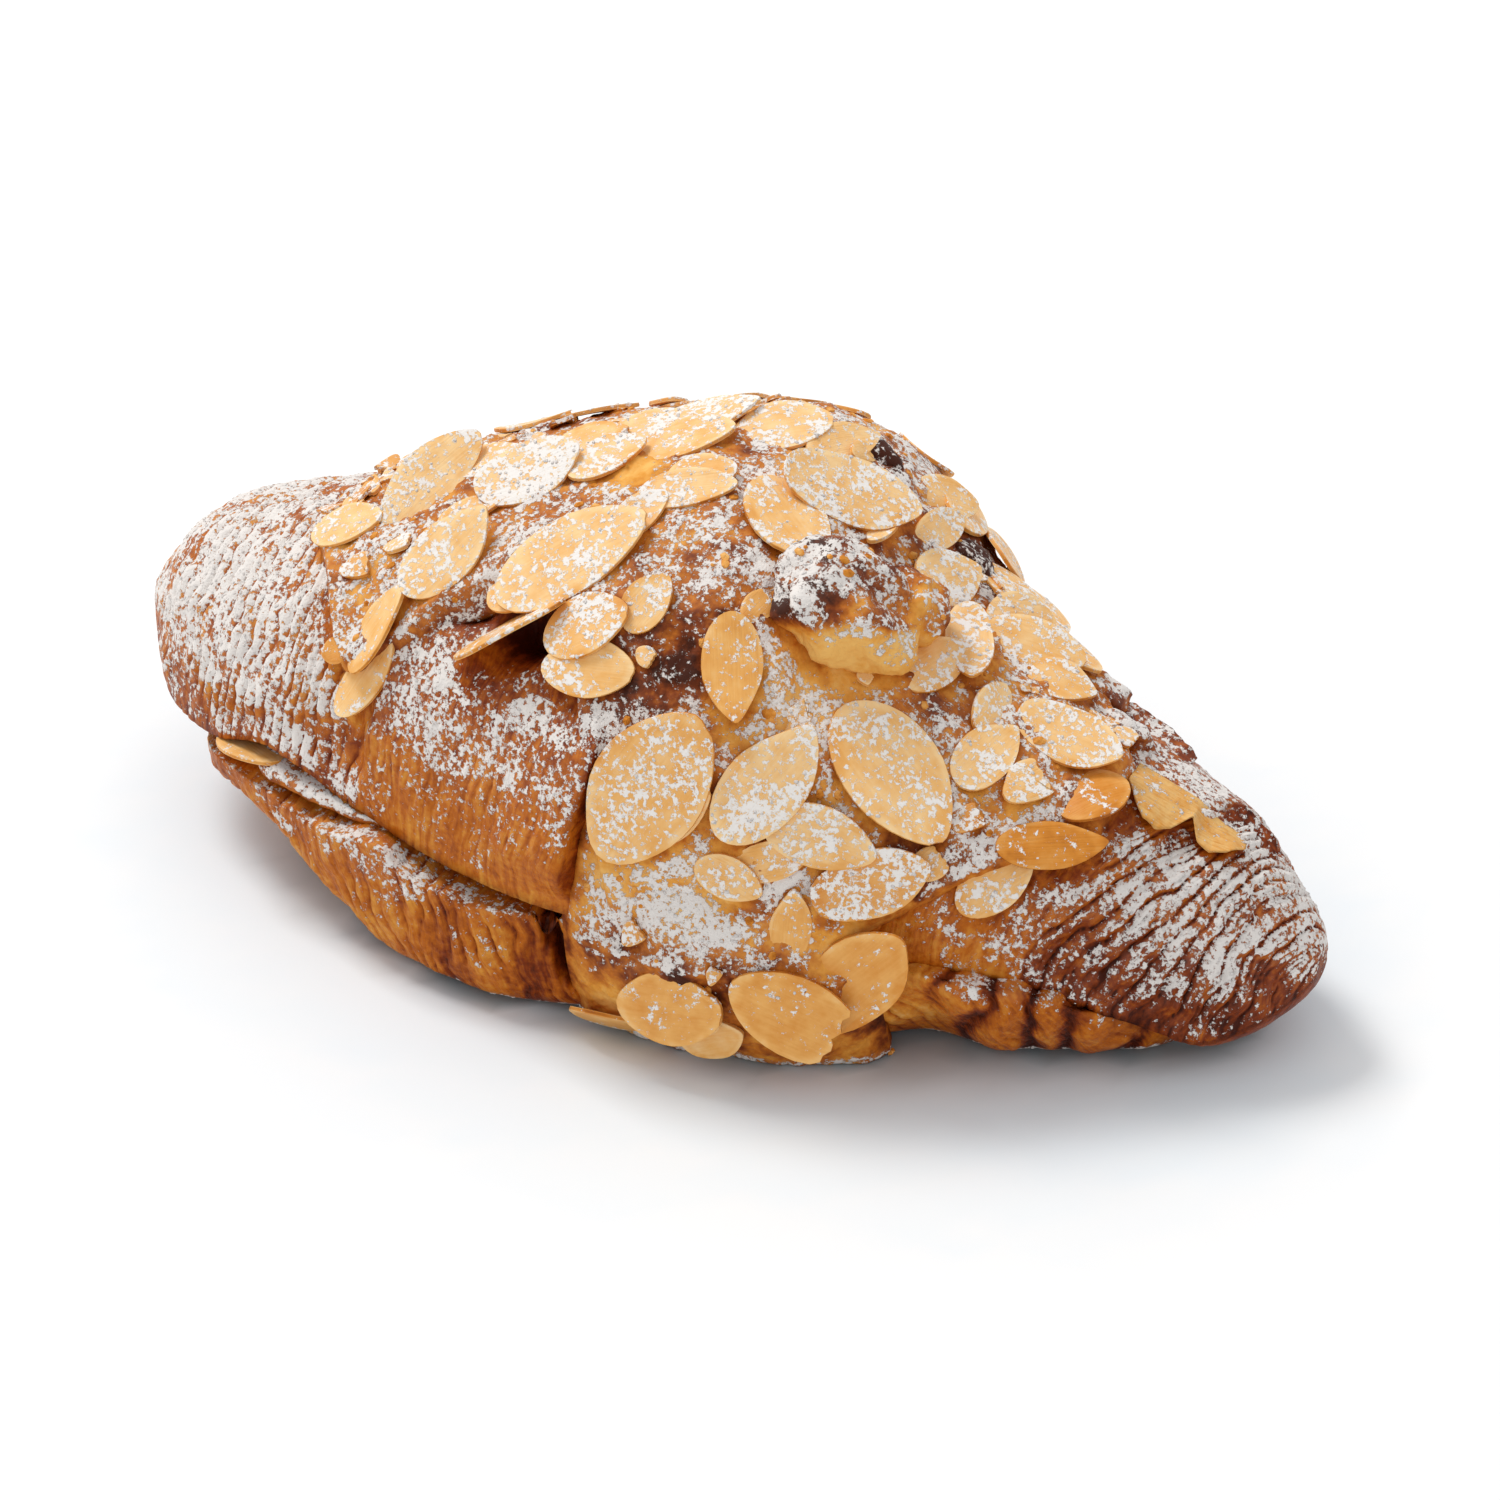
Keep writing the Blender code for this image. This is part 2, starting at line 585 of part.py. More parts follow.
def topping(upper, lower):
    """The baked cream with its flaked almonds, one crust that fits over both halves."""
    made = spread()
    flakes = [flake_on_roll(number, *row) for number, row in enumerate((*FLAKES, *back_flakes()))]
    combined(made, [drip(), lump(), *flakes], "UNION")
    combined(made, [clearance("over_upper", upper), clearance("over_lower", lower), floor()], "DIFFERENCE")
    keep_largest(made)
    made.data.materials.clear()
    made.data.materials.append(material("almonds", ALMOND_COLOUR, 0.5))
    return made


def croissant():
    for leftover in list(bpy.data.objects):
        bpy.data.objects.remove(leftover)
    whole = bpy.data.objects.new("croissant", None)
    whole.location = Vector(MIDDLE) * MM
    bpy.context.scene.collection.objects.link(whole)
    upper, lower = upper_half(), lower_half()
    for piece in (upper, lower, filling(), topping(upper, lower)):
        piece.parent = whole


croissant()
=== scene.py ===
# %% [markdown]
# # An almond croissant
# The croissant was cut open, filled with almond cream, closed, spread with more of that cream, covered
# with flaked almonds, baked a second time and dusted with icing sugar. The plain solids hold its form and
# place. This lesson builds the finished surfaces around them, one piece for each thing that a baker would
# name: two halves of pastry, the filling, the cream on top, the almonds, torn pastry, crumbs and sugar.

import json
import math
import random

import bmesh
import bpy
import numpy as np
from mathutils import Matrix, Vector, noise

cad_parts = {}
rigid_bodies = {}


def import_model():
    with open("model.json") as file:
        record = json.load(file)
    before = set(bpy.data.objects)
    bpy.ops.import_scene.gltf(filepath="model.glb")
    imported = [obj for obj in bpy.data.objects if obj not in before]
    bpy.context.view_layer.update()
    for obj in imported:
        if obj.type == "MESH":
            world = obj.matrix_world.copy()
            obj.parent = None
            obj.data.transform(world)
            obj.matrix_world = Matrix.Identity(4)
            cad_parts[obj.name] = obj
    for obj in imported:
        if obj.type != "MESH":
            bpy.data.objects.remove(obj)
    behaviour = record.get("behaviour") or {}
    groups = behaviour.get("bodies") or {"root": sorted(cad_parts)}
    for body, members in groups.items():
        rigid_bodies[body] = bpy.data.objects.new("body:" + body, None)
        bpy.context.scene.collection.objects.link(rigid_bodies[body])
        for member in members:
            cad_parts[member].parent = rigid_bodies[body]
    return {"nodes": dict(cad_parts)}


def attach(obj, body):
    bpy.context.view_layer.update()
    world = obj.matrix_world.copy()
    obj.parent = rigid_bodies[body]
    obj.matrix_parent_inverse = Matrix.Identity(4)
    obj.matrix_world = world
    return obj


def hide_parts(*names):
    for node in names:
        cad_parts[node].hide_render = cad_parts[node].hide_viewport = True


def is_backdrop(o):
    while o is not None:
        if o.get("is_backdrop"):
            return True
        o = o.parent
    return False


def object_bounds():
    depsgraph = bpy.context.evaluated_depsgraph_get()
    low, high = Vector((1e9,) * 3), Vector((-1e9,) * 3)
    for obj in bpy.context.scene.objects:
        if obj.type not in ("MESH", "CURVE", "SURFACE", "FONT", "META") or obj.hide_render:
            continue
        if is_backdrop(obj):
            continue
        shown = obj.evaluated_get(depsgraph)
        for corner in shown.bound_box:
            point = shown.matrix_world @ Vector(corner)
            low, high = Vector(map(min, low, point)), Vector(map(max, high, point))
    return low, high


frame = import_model()
solids_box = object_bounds()
print("solids:", sorted(frame["nodes"]))
print("box:", [tuple(round(v, 4) for v in corner) for corner in solids_box])

# %% [markdown]
# ## Camera
# A long lens from half a metre keeps the roll's proportions, as in a product photograph. The camera looks
# down from 35 degrees, a little from the right, so the cut side and the slim end both show. Placing it by
# two angles and a distance is easier to adjust than a typed-in matrix.

# %% Camera
AZIMUTH, ELEVATION = math.radians(27), math.radians(35)
CAMERA_DISTANCE, LENS = 0.490, 100
LOOKED_AT = Vector((0.0, 0.006, 0.0144))

to_camera = Vector((math.sin(AZIMUTH), -math.cos(AZIMUTH), math.tan(ELEVATION))).normalized()
camera = bpy.data.objects.new("camera", bpy.data.cameras.new("camera"))
camera.data.lens = LENS
camera.data.sensor_width = 36
camera.location = LOOKED_AT + to_camera * CAMERA_DISTANCE
camera.rotation_euler = to_camera.to_track_quat("Z", "Y").to_euler()
bpy.context.scene.collection.objects.link(camera)
bpy.context.scene.camera = camera
print("camera at", [round(v, 3) for v in camera.location])

# %% [markdown]
# ## Floor and light
# The croissant lies on a plain white surface under a soft lamp that hangs high to its left, with white
# walls all round. One area light and a bright white world do the same. The view transform is Standard,
# because the browns of a crust turn grey under a filmic one. The floor's lines lie close together near the
# croissant, so that its points can carry how much of the room the croissant hides from each place, and
# that number paints a shadow into the floor's colour.

# %% Floor and light
FLOOR_REACH = 4.0
FLOOR_DROP = 0.00005  # below the sole, so that the two surfaces never coincide
FLOOR_FINE = np.linspace(-0.14, 0.14, 71)  # closely spaced lines where the croissant's shadow falls
LAMP_FROM = Vector((-0.58, 0.10, 1.0))
LAMP_SIZE, LAMP_WATTS, LAMP_WARM = 0.34, 7.0, (1.0, 0.98, 0.95)
SKY, SKY_COOL = 0.75, (0.98, 0.99, 1.0, 1.0)

floor_mesh = bpy.data.meshes.new("floor")
lines = [-FLOOR_REACH, *FLOOR_FINE.tolist(), FLOOR_REACH]
wide = len(lines)
squares = [i * wide + j for i in range(wide - 1) for j in range(wide - 1)]
floor_points = [(x, y, -FLOOR_DROP) for y in lines for x in lines]
floor_mesh.from_pydata(floor_points, [], [(k, k + 1, k + 1 + wide, k + wide) for k in squares])
floor_mesh.attributes.new("covered", "FLOAT", "POINT")
floor = bpy.data.objects.new("floor", floor_mesh)
bpy.context.scene.collection.objects.link(floor)
floor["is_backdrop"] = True

lamp_data = bpy.data.lights.new("soft_lamp", "AREA")
lamp_data.energy, lamp_data.size, lamp_data.color = LAMP_WATTS, LAMP_SIZE, LAMP_WARM
lamp = bpy.data.objects.new("soft_lamp", lamp_data)
lamp.location = LAMP_FROM
lamp.rotation_euler = LAMP_FROM.to_track_quat("Z", "Y").to_euler()
bpy.context.scene.collection.objects.link(lamp)

world = bpy.data.worlds.new("white_room")
world.use_nodes = True
world.node_tree.nodes["Background"].inputs["Color"].default_value = SKY_COOL
world.node_tree.nodes["Background"].inputs["Strength"].default_value = SKY
bpy.context.scene.world = world
bpy.context.scene.view_settings.view_transform = "Standard"
print("lamp", LAMP_WATTS, "W, sky", SKY)

# %% [markdown]
# ## The roll's own coordinates
# A place on the croissant is an along, in millimetres on X, and a turn: 0 at the front edge of the upper
# half, 0.5 over the crown, 1 at its back edge, and down to -1 at the floor in front. Working in these two
# numbers, as a baker would point at a spot, lets one function carry folds, cream, almonds and sugar. The
# tables are the same ones that shaped the solids, so nothing has to be fitted afterwards.

# %% Sizes in millimetres
MM = 0.001
MIDDLE = np.array((0.0, 6.0, 0.0))  # moves the box's middle onto the origin
LEFT_TIP, RIGHT_TIP = -73.5, 73.5
LEFT_ROUND, RIGHT_ROUND = 11.0, 12.0
BASE_LEFT, BASE_RIGHT, BASE_ROUND, BASE_CORNER = -62.0, 60.0, 8.0, 7.0
HALF_GIRTH = 85.0  # about how long a turn from 0 to 1 is, over the crown

# The upper half: along, front edge, back edge, height of its edge, crown, height of its underside
ROLL = (
    (-74, -18.5, -6.0, 21.0, 27.0, 19.0),
    (-66, -24.0, 1.0, 17.5, 35.0, 14.0),
    (-56, -29.5, 7.0, 17.5, 39.5, 17.8),
    (-45, -33.5, 12.0, 21.5, 43.0, 20.5),
    (-34, -35.5, 17.0, 19.0, 47.5, 20.0),
    (-22, -38.5, 23.0, 17.5, 51.5, 19.5),
    (-10, -40.5, 29.0, 17.0, 54.3, 19.0),
    (2, -40.0, 32.0, 16.5, 56.3, 19.0),
    (12, -38.5, 29.0, 16.5, 54.3, 19.0),
    (22, -35.5, 23.5, 16.5, 46.5, 18.5),
    (33, -31.0, 18.0, 15.7, 39.3, 17.5),
    (44, -26.0, 14.0, 13.7, 34.0, 15.5),
    (56, -20.5, 9.5, 8.8, 29.5, 10.8),
    (64, -16.5, 7.0, 5.5, 26.0, 2.0),
    (74, -11.0, 3.0, 6.0, 18.0, 5.0),
)
# The lower half: along, front rim, back rim, height of the cut, height of its underside
BASE = (
    (-62, -27.0, -2.0, 13.2, 11.0),
    (-54, -31.0, 4.0, 15.4, 10.5),
    (-45, -35.0, 9.0, 16.0, 8.5),
    (-36, -39.0, 14.0, 16.0, 4.0),
    (-26, -42.0, 19.0, 15.7, 0.0),
    (-12, -43.5, 24.0, 15.5, 0.0),
    (0, -40.0, 28.0, 15.5, 0.0),
    (14, -34.5, 27.0, 15.5, 0.0),
    (28, -31.0, 22.0, 15.0, 0.0),
    (40, -27.5, 15.0, 13.6, 0.0),
    (50, -22.5, 9.0, 10.8, 0.0),
    (56, -19.5, 5.0, 7.4, 0.0),
    (60, -17.0, 2.0, 3.6, 0.0),
)
# The cream on top: along, turn of its front border, turn of its back border
SPREAD = (
    (-48, 0.40, 0.47),
    (-41, 0.28, 0.56),
    (-34, 0.14, 0.64),
    (-28, 0.18, 0.70),
    (-18, 0.27, 0.74),
    (-7, 0.26, 0.78),
    (4, -0.02, 0.80),
    (20, -0.05, 0.80),
    (32, 0.03, 0.75),
    (42, 0.16, 0.67),
    (52, 0.30, 0.48),
)
# Where the cream ran down the front: along, how far it stands out there
DRIP = ((-3, 0.2), (0, 1.2), (4, 2.6), (9, 4.4), (17, 5.0), (24, 4.7), (28, 3.4), (32, 0.5))
DRIP_TOP, DRIP_FOOT, DRIP_LEAN, DRIP_EDGE = 0.11, -0.97, 3.5, 2.5
DRIP_RISE = 0.16  # turns over which it reaches its full thickness
CREAM, CREAM_EDGE, SUNK, ROOTED = 1.9, 3.5, 0.6, 2.5
print(len(ROLL), "sections of the roll,", len(BASE), "of the sole")

# %% [markdown]
# A table gives the sections, and a smooth curve through each column gives every place between them. The
# surface, its outward direction and an even noise on it are all that the later steps need. A spline
# surface could hold the same form, but it can't tell where the place at an along and a turn lies.

# %% Curves and surfaces in those coordinates


def through(table, column, place):
    """A smooth curve through one column of a table whose first column is the place."""
    table = np.asarray(table, float)
    places, values = table[:, 0], table[:, column]
    slopes = np.gradient(values, places)
    place = np.clip(place, places[0], places[-1])
    i = np.clip(np.searchsorted(places, place) - 1, 0, len(places) - 2)
    span = places[i + 1] - places[i]
    s = (place - places[i]) / span
    near = (1 + 2 * s) * (1 - s) ** 2 * values[i] + s * (1 - s) ** 2 * span * slopes[i]
    far = s * s * (3 - 2 * s) * values[i + 1] - s * s * (1 - s) * span * slopes[i + 1]
    return near + far


def ease(amount):
    """0 to 1 with a soft start and end."""
    s = np.clip(amount, 0, 1)
    return s * s * (3 - 2 * s)


def end_rounding(along, left, right, left_reach, right_reach):
    """1 along the body, falling to 0 at each tip as a quarter ellipse."""
    past = np.maximum((left + left_reach - along) / left_reach, (along - right + right_reach) / right_reach)
    return np.sqrt(1 - np.clip(past, 0, 1) ** 2)


def roll_shape(along, turn):
    """The upper half's outer surface without its folds."""
    front, back, edge, crown = (through(ROLL, column, along) for column in (1, 2, 3, 4))
    middle, level = (front + back) / 2, (edge + crown) / 2
    small = end_rounding(along, LEFT_TIP, RIGHT_TIP, LEFT_ROUND, RIGHT_ROUND)
    angle = math.pi * np.clip(turn, 0, 1)
    across = middle - (back - front) / 2 * np.cos(angle)
    height = edge + (crown - edge) * np.sin(angle) ** 0.8
    across = middle + (across - middle) * small
    height = level + (height - level) * small
    return np.stack([along + 0 * turn, across, height], -1)


def front_wall(along, turn):
    """The line from the upper half's front edge down to the floor, for turns from 0 to -1."""
    down = np.clip(-turn, 0, 1)
    across = through(ROLL, 1, along) + DRIP_LEAN * down**2
    return np.stack([along + 0 * turn, across, through(ROLL, 3, along) * (1 - down)], -1)


def shape(along, turn):
    """Any place on the roll, also where the turn runs down its front."""
    along, turn = np.broadcast_arrays(np.asarray(along, float), np.asarray(turn, float))
    return np.where((turn < 0)[..., None], front_wall(along, turn), roll_shape(along, turn))


def outward(along, turn):
    """Unit vectors that point out of the roll."""
    step_along, step_turn = 0.5, 0.01
    inside = np.clip(along, LEFT_TIP + 1.5, RIGHT_TIP - 1.5)
    run = shape(inside + step_along, turn) - shape(inside - step_along, turn)
    rise = shape(inside, turn + step_turn) - shape(inside, turn - step_turn)
    out = np.cross(run, rise)
    return out / np.linalg.norm(out, axis=-1, keepdims=True)


def rough(points, span):
    """Even noise from -1 to 1 that changes over about this many millimetres."""
    flat = points.reshape(-1, 3) / span
    return np.array([noise.noise(Vector(point)) for point in flat]).reshape(points.shape[:-1])


def uneven(points, layers):
    """Noise in several layers, for each its strength, where in the noise it starts, and its span."""
    return sum(strength * rough(points + start, span) for strength, start, span in layers)


crown_height = float(shape(2.0, 0.5)[2])
print("the crown is", round(crown_height, 1), "mm high")

# %% [markdown]
# ## Meshes from rings
# A half of the croissant is a loft: closed rings of points, one after another along the roll, with a point
# in the middle of each end. Blender could skin curves instead, but a grid of points keeps the relief's
# numbers in order, so each vertex can also carry how dark it is baked, with painted shade added in, and
# how much sugar falls on it.

# %% Helpers that turn grids of points into objects


def outside(points, faces):
    """The triangles of a closed surface, turned to point out."""
    corners = (points - points.mean(0))[faces]
    volume = np.einsum("ij,ij->i", corners[:, 0], np.cross(corners[:, 1], corners[:, 2])).sum()
    return faces[:, ::-1] if volume < 0 else faces


def merged(parts):
    """The points, faces and named numbers of several closed surfaces, in one set of each."""
    points, faces, numbers, count = [], [], {}, 0
    for part_points, part_faces, part_numbers in parts:
        points.append(part_points)
        faces.append(outside(part_points, part_faces) + count)
        for name, values in part_numbers.items():
            numbers.setdefault(name, []).append(values)
        count += len(part_points)
    numbers = {name: np.concatenate(values) for name, values in numbers.items()}
    return np.concatenate(points), np.concatenate(faces), numbers


def made_object(name, points, faces, values):
    """An object from millimetre points and triangles, with a number for each point by name."""
    faces = outside(points, faces)
    mesh = bpy.data.meshes.new(name)
    mesh.from_pydata((points + MIDDLE) * MM, [], faces)
    for value_name, value in values.items():
        layer = mesh.attributes.new(value_name, "FLOAT", "POINT")
        layer.data.foreach_set("value", np.ascontiguousarray(value, np.float32).reshape(-1))
    mesh.shade_smooth()
    made = bpy.data.objects.new(name, mesh)
    bpy.context.scene.collection.objects.link(made)
    print(name, len(mesh.vertices), "points,", len(faces), "faces")
    return made


def grid_faces(rows, columns, closed, first=0):
    """Triangles over a grid of points, which may close into a tube."""
    wide = columns if closed else columns - 1
    i, j = np.meshgrid(np.arange(rows - 1), np.arange(wide), indexing="ij")
    a, b = i * columns + j, i * columns + (j + 1) % columns
    square = np.stack([a, b, b + columns, a + columns], -1).reshape(-1, 4) + first
    return np.concatenate([square[:, (0, 1, 2)], square[:, (0, 2, 3)]])


def loft(name, rings, **values):
    """A closed object over rings of points."""
    rows, columns = rings.shape[:2]
    points = np.concatenate([rings.reshape(-1, 3), rings[:1].mean(1), rings[-1:].mean(1)])
    i = np.arange(columns)
    j = (i + 1) % columns
    last = (rows - 1) * columns
    start_cap = np.stack([j, i, np.full(columns, rows * columns)], -1)
    end_cap = np.stack([last + i, last + j, np.full(columns, rows * columns + 1)], -1)
    faces = np.concatenate([grid_faces(rows, columns, True), start_cap, end_cap])
    carried = {}
    for key, value in values.items():
        carried[key] = np.concatenate([value.reshape(-1), [value[0].mean(), value[-1].mean()]])
    return made_object(name, points, faces, carried)


def ring_normals(rings):
    """Unit vectors that point out of a tube of rings."""
    run = np.gradient(rings, axis=0)
    rise = np.roll(rings, -1, 1) - np.roll(rings, 1, 1)
    out = np.cross(run, rise)
    out /= np.linalg.norm(out, axis=-1, keepdims=True) + 1e-9
    away = rings - rings.mean(1, keepdims=True)
    return out * np.sign((out * away).sum(-1).sum())


def layered(position, spacing, wander, broad=0.5):
    """The edges of rolled-up dough: -1 in the groove between two layers, 1 on a layer's back.

    A low broad number makes wide flat backs between narrow grooves."""
    phase = (position + wander) / spacing
    part = phase - np.floor(phase)
    return 2 * np.sin(math.pi * part**0.75) ** broad - 1


print("helpers ready")

# %% [markdown]
# ## The upper half
# The dough was rolled from a long triangle, so each band ends in a seam, and the cut edges of its layers
# show as fine ridges: close together round the left end, coarse and slanting at the slim right end, where
# they close round the tip, faint low down on the smooth middle bands. A ridge is a function of one number,
# the along of the place where its spiral would meet the front edge, so each zone needs only a slant, a
# spacing and a height. Two dark hollows sink in beside the cream, and the middle band ends at the right in
# a swollen cuff with a crease behind it. Sculpting could add these too, but not as steps one can adjust.

# %% Folds and layers of the upper half
LEFT_SEAM, LEFT_SLANT, LEFT_STEP = -31.0, 14.0, 2.2
RIGHT_SEAM, RIGHT_SLANT, RIGHT_STEP = 44.0, 25.0, 1.8
# Hollows beside the cream, their darkness painted shade: along, turn, their half sizes in both, depth
HOLLOWS = ((-12.0, 0.255, 3.0, 0.030, 5.5), (-20.0, 0.275, 2.4, 0.022, 3.0))
CREASE_WIDTH, CREASE_DEPTH = 2.6, 3.4
UNEVEN, UNEVEN_SPAN = 0.6, 14.0
UPPER_BUMPS = ((0.34, 0, 4.0), (0.20, 9, 1.6), (0.09, 0, 0.8))  # strength, start, span
UPPER_WANDER = ((1.3, 70, 7.0), (0.45, 0, 2.2))
# Layers: slant, spacing and height of the ridges
END_LAYERS = (8.0, 1.60, 0.34)
BAND_LAYERS = (14.0, 1.35, 0.12)
SLIM_LAYERS = (36.0, 2.5, 0.50)
SLIM_LEAVES = (38.0, 0.95, 0.20)
CUFF_HEIGHT, CUFF_REACH = 3.0, 13.0  # the middle band stands out towards its right edge
CUFF_EDGE = ((0.0, -1.6), (0.04, -1.0), (0.12, 1.0), (0.20, 2.5), (0.30, 4.0))  # turn, along of that edge
CUFF_TOP = 0.24


def zones(along, turn):
    """How much a place belongs to the left end, the middle bands and the slim right end."""
    left = ease((LEFT_SEAM + LEFT_SLANT * turn - along) / 1.5)
    right = ease((along - RIGHT_SEAM - RIGHT_SLANT * turn) / 2.5)
    return left, 1 - left - right, right


def folds(along, turn):
    """How far the pastry stands out from the plain roll."""
    before_left = LEFT_SEAM + LEFT_SLANT * turn - along
    after_right = along - RIGHT_SEAM - RIGHT_SLANT * turn
    left = -LEFT_STEP * ease(before_left / 2.5) * np.exp(-np.clip(before_left, 0, None) / 12)
    right = -RIGHT_STEP * ease(after_right / 5) * np.exp(-np.clip(after_right, 0, None) / 12)
    past_cuff = along - through(CUFF_EDGE, 1, turn)
    cuff = ease(-past_cuff / 0.9) * ease(1 + past_cuff / CUFF_REACH) * CUFF_HEIGHT
    crease = ease(past_cuff / 0.9) * np.exp(-np.clip(past_cuff, 0, None) / CREASE_WIDTH) * CREASE_DEPTH
    out = left + right + (cuff - crease) * ease((CUFF_TOP - turn) / 0.12)
    for *placed, depth in HOLLOWS:
        out = out - depth * in_hollow(along, turn, *placed)
    return out


def in_hollow(along, turn, at_along, at_turn, half_length, half_turn):
    """1 in the middle of a hollow, falling to 0 round it."""
    return np.exp(-(((along - at_along) / half_length) ** 2) - ((turn - at_turn) / half_turn) ** 2)


def upper_layers(along, turn, points):
    """The layers' ridges in millimetres of height, and each place's distance across the layers."""
    left, middle, right = zones(along, turn)
    wander = uneven(points, UPPER_WANDER)
    strength = 0.15 + 1.15 * ease(0.5 + 1.3 * rough(points + 30, 5.0))
    breaks = ease(0.95 + 1.7 * rough(points + 50, 5.0))
    to_tip = turn * np.clip((RIGHT_TIP + 2 - along) / 16, 0, 1)  # the lines close round the tip
    low = ease((0.30 - turn) / 0.2) + ease((turn - 0.72) / 0.1)
    out = left * END_LAYERS[2] * layered(along - END_LAYERS[0] * turn, END_LAYERS[1], wander)
    bands = layered(along - BAND_LAYERS[0] * turn, BAND_LAYERS[1], 0.6 * wander)
    out += middle * low * BAND_LAYERS[2] * bands
    deep = layered(along - SLIM_LAYERS[0] * to_tip, SLIM_LAYERS[1], 1.1 * wander, 0.38)
    fine = layered(along - SLIM_LEAVES[0] * to_tip, SLIM_LEAVES[1], 1.0 * wander)
    ridges = out * strength + right * (SLIM_LAYERS[2] * deep * breaks + SLIM_LEAVES[2] * fine * strength)
    slanting = left * END_LAYERS[0] * turn + middle * BAND_LAYERS[0] * turn + right * SLIM_LAYERS[0] * to_tip
    return ridges, along - slanting + wander


print("step at the left seam:", round(float(folds(LEFT_SEAM - 2.0, 0.1)), 2), "mm")

# %% [markdown]
# Over five hundred rings of a hundred and sixty-four points are fine enough for layers two millimetres
# apart. Each ring goes over the crown from the front edge to the back edge and returns below it, hollow
# where the filling lies and round under the ends. Subdividing a coarser mesh would smooth the layers
# away.

# %% The upper half itself
UPPER_RINGS, UPPER_OVER, UPPER_UNDER = 540, 150, 14


def spaced(first, last, count):
    """Places along the roll, closer together towards its ends."""
    bunched = first + (last - first) * (1 - np.cos(np.linspace(0.03, 0.97, count) * math.pi)) / 2
    return 0.5 * bunched + 0.5 * np.linspace(first + 0.4, last - 0.4, count)


along = spaced(LEFT_TIP, RIGHT_TIP, UPPER_RINGS)[:, None]
turn = np.linspace(0, 1, UPPER_OVER)[None, :]
along_over, turn_over = np.broadcast_arrays(along, turn)
plain_over = shape(along_over, turn_over)
tip = end_rounding(along_over, LEFT_TIP, RIGHT_TIP, LEFT_ROUND, RIGHT_ROUND)
hem = ease(turn_over / 0.04)
bumps = uneven(plain_over, UPPER_BUMPS)
ridges, across_layers = upper_layers(along_over, turn_over, plain_over)
broad_form = (folds(along_over, turn_over) + UNEVEN * rough(plain_over, UNEVEN_SPAN)) * tip**2 * hem
fine_form = (bumps + ridges) * tip * (0.35 + 0.65 * hem)
over = plain_over + outward(along_over, turn_over) * (broad_form + fine_form)[..., None]

inward = (1 - np.cos(np.linspace(0, math.pi, UPPER_UNDER + 2)[1:-1])) / 2
front_edge, back_edge = over[:, :1], over[:, -1:]
under = back_edge + (front_edge - back_edge) * inward[None, :, None]
underside = through(ROLL, 5, along)
edge_level = (over[:, :1, 2] + over[:, -1:, 2]) / 2
hollow = np.where(underside > edge_level, 0.12, 0.5)  # hollow over the filling, round under the ends
belly = np.sin(inward * math.pi)[None, :] ** hollow
under[..., 2] = edge_level + (underside - edge_level) * belly * tip[:, :1]
upper_rings = np.concatenate([over, under], 1)
print("upper half", upper_rings.shape[:2], "rings and points")

# %% [markdown]
# How dark each place is baked, with painted shade added in, and how much sugar it can hold follow the
# same zones. Grooves between ridges are painted browner as shade and hold less sugar, the low bare band
# under the left and right ends is browner, and hollow and crease are painted almost black as shade.
# Painting this by hand would be slower to correct than a few sums.

# %% Browning, painted shade and sugar of the upper half
left_zone, middle_zone, right_zone = zones(along_over, turn_over)
groove = np.clip(-ridges / 0.25, -1, 1)
# Painted shade: the groove term makes the grooves between ridges browner.
browned = 0.60 * left_zone + 0.82 * right_zone + 0.20 * groove
browned += middle_zone * (0.54 + 0.16 * ease((turn_over - 0.05) / 0.12))
low_left = 0.16 * ease((0.10 - turn_over) / 0.10) * left_zone
low_right = 0.18 * ease((0.24 - turn_over) / 0.20) * right_zone
browned += low_left + low_right
in_hollows = sum(in_hollow(along_over, turn_over, *placed) for *placed, depth in HOLLOWS)
past_cuff = along_over - through(CUFF_EDGE, 1, turn_over)
in_crease = np.exp(-(((past_cuff - 0.8) / 1.3) ** 2)) * ease((CUFF_TOP - turn_over) / 0.06)
# Painted shade: the hollows and the crease behind the cuff are painted near black.
browned += 0.60 * in_hollows + 0.45 * in_crease
sugared = left_zone * (0.50 + 0.04 * ease((turn_over - 0.02) / 0.12))
near_slim = ease((along_over - 28) / 5)
above_edge = ease((turn_over - 0.03 + 0.05 * near_slim) / 0.12)
sugared += middle_zone * (0.24 + 0.06 * near_slim + 0.28 * above_edge)
sugared += right_zone * (0.12 + 0.17 * ease((turn_over - 0.04) / 0.12))
in_grooves = 0.22 * groove * (1.9 * left_zone + 0.6 * middle_zone + 1.9 * right_zone)
sugared += 0.10 * rough(plain_over + 44, 6.0) - in_grooves
sugared -= 0.6 * in_hollows + 0.4 * in_crease
sole_side = np.zeros((UPPER_RINGS, UPPER_UNDER))
upper_pastry = loft(
    "upper_pastry",
    upper_rings,
    browned=np.concatenate([browned, sole_side + 0.8], 1),
    sugared=np.concatenate([sugared, sole_side], 1),
    across_layers=np.concatenate([across_layers, sole_side], 1),
    along_layers=np.concatenate([turn_over * HALF_GIRTH, sole_side], 1),
)

# %% [markdown]
# ## The lower half
# Below the cut the sole stands out past the upper half by a few millimetres, with a strip of sugar on its
# rim and a heap of sugared scraps. Its sides show the layers on edge: fine upright lines on the left and
# half a dozen thick folds near the slim end, where the rim juts out as a lip and the foot arches off the
# tray. It is lofted like the upper half, with its rim left a little torn.

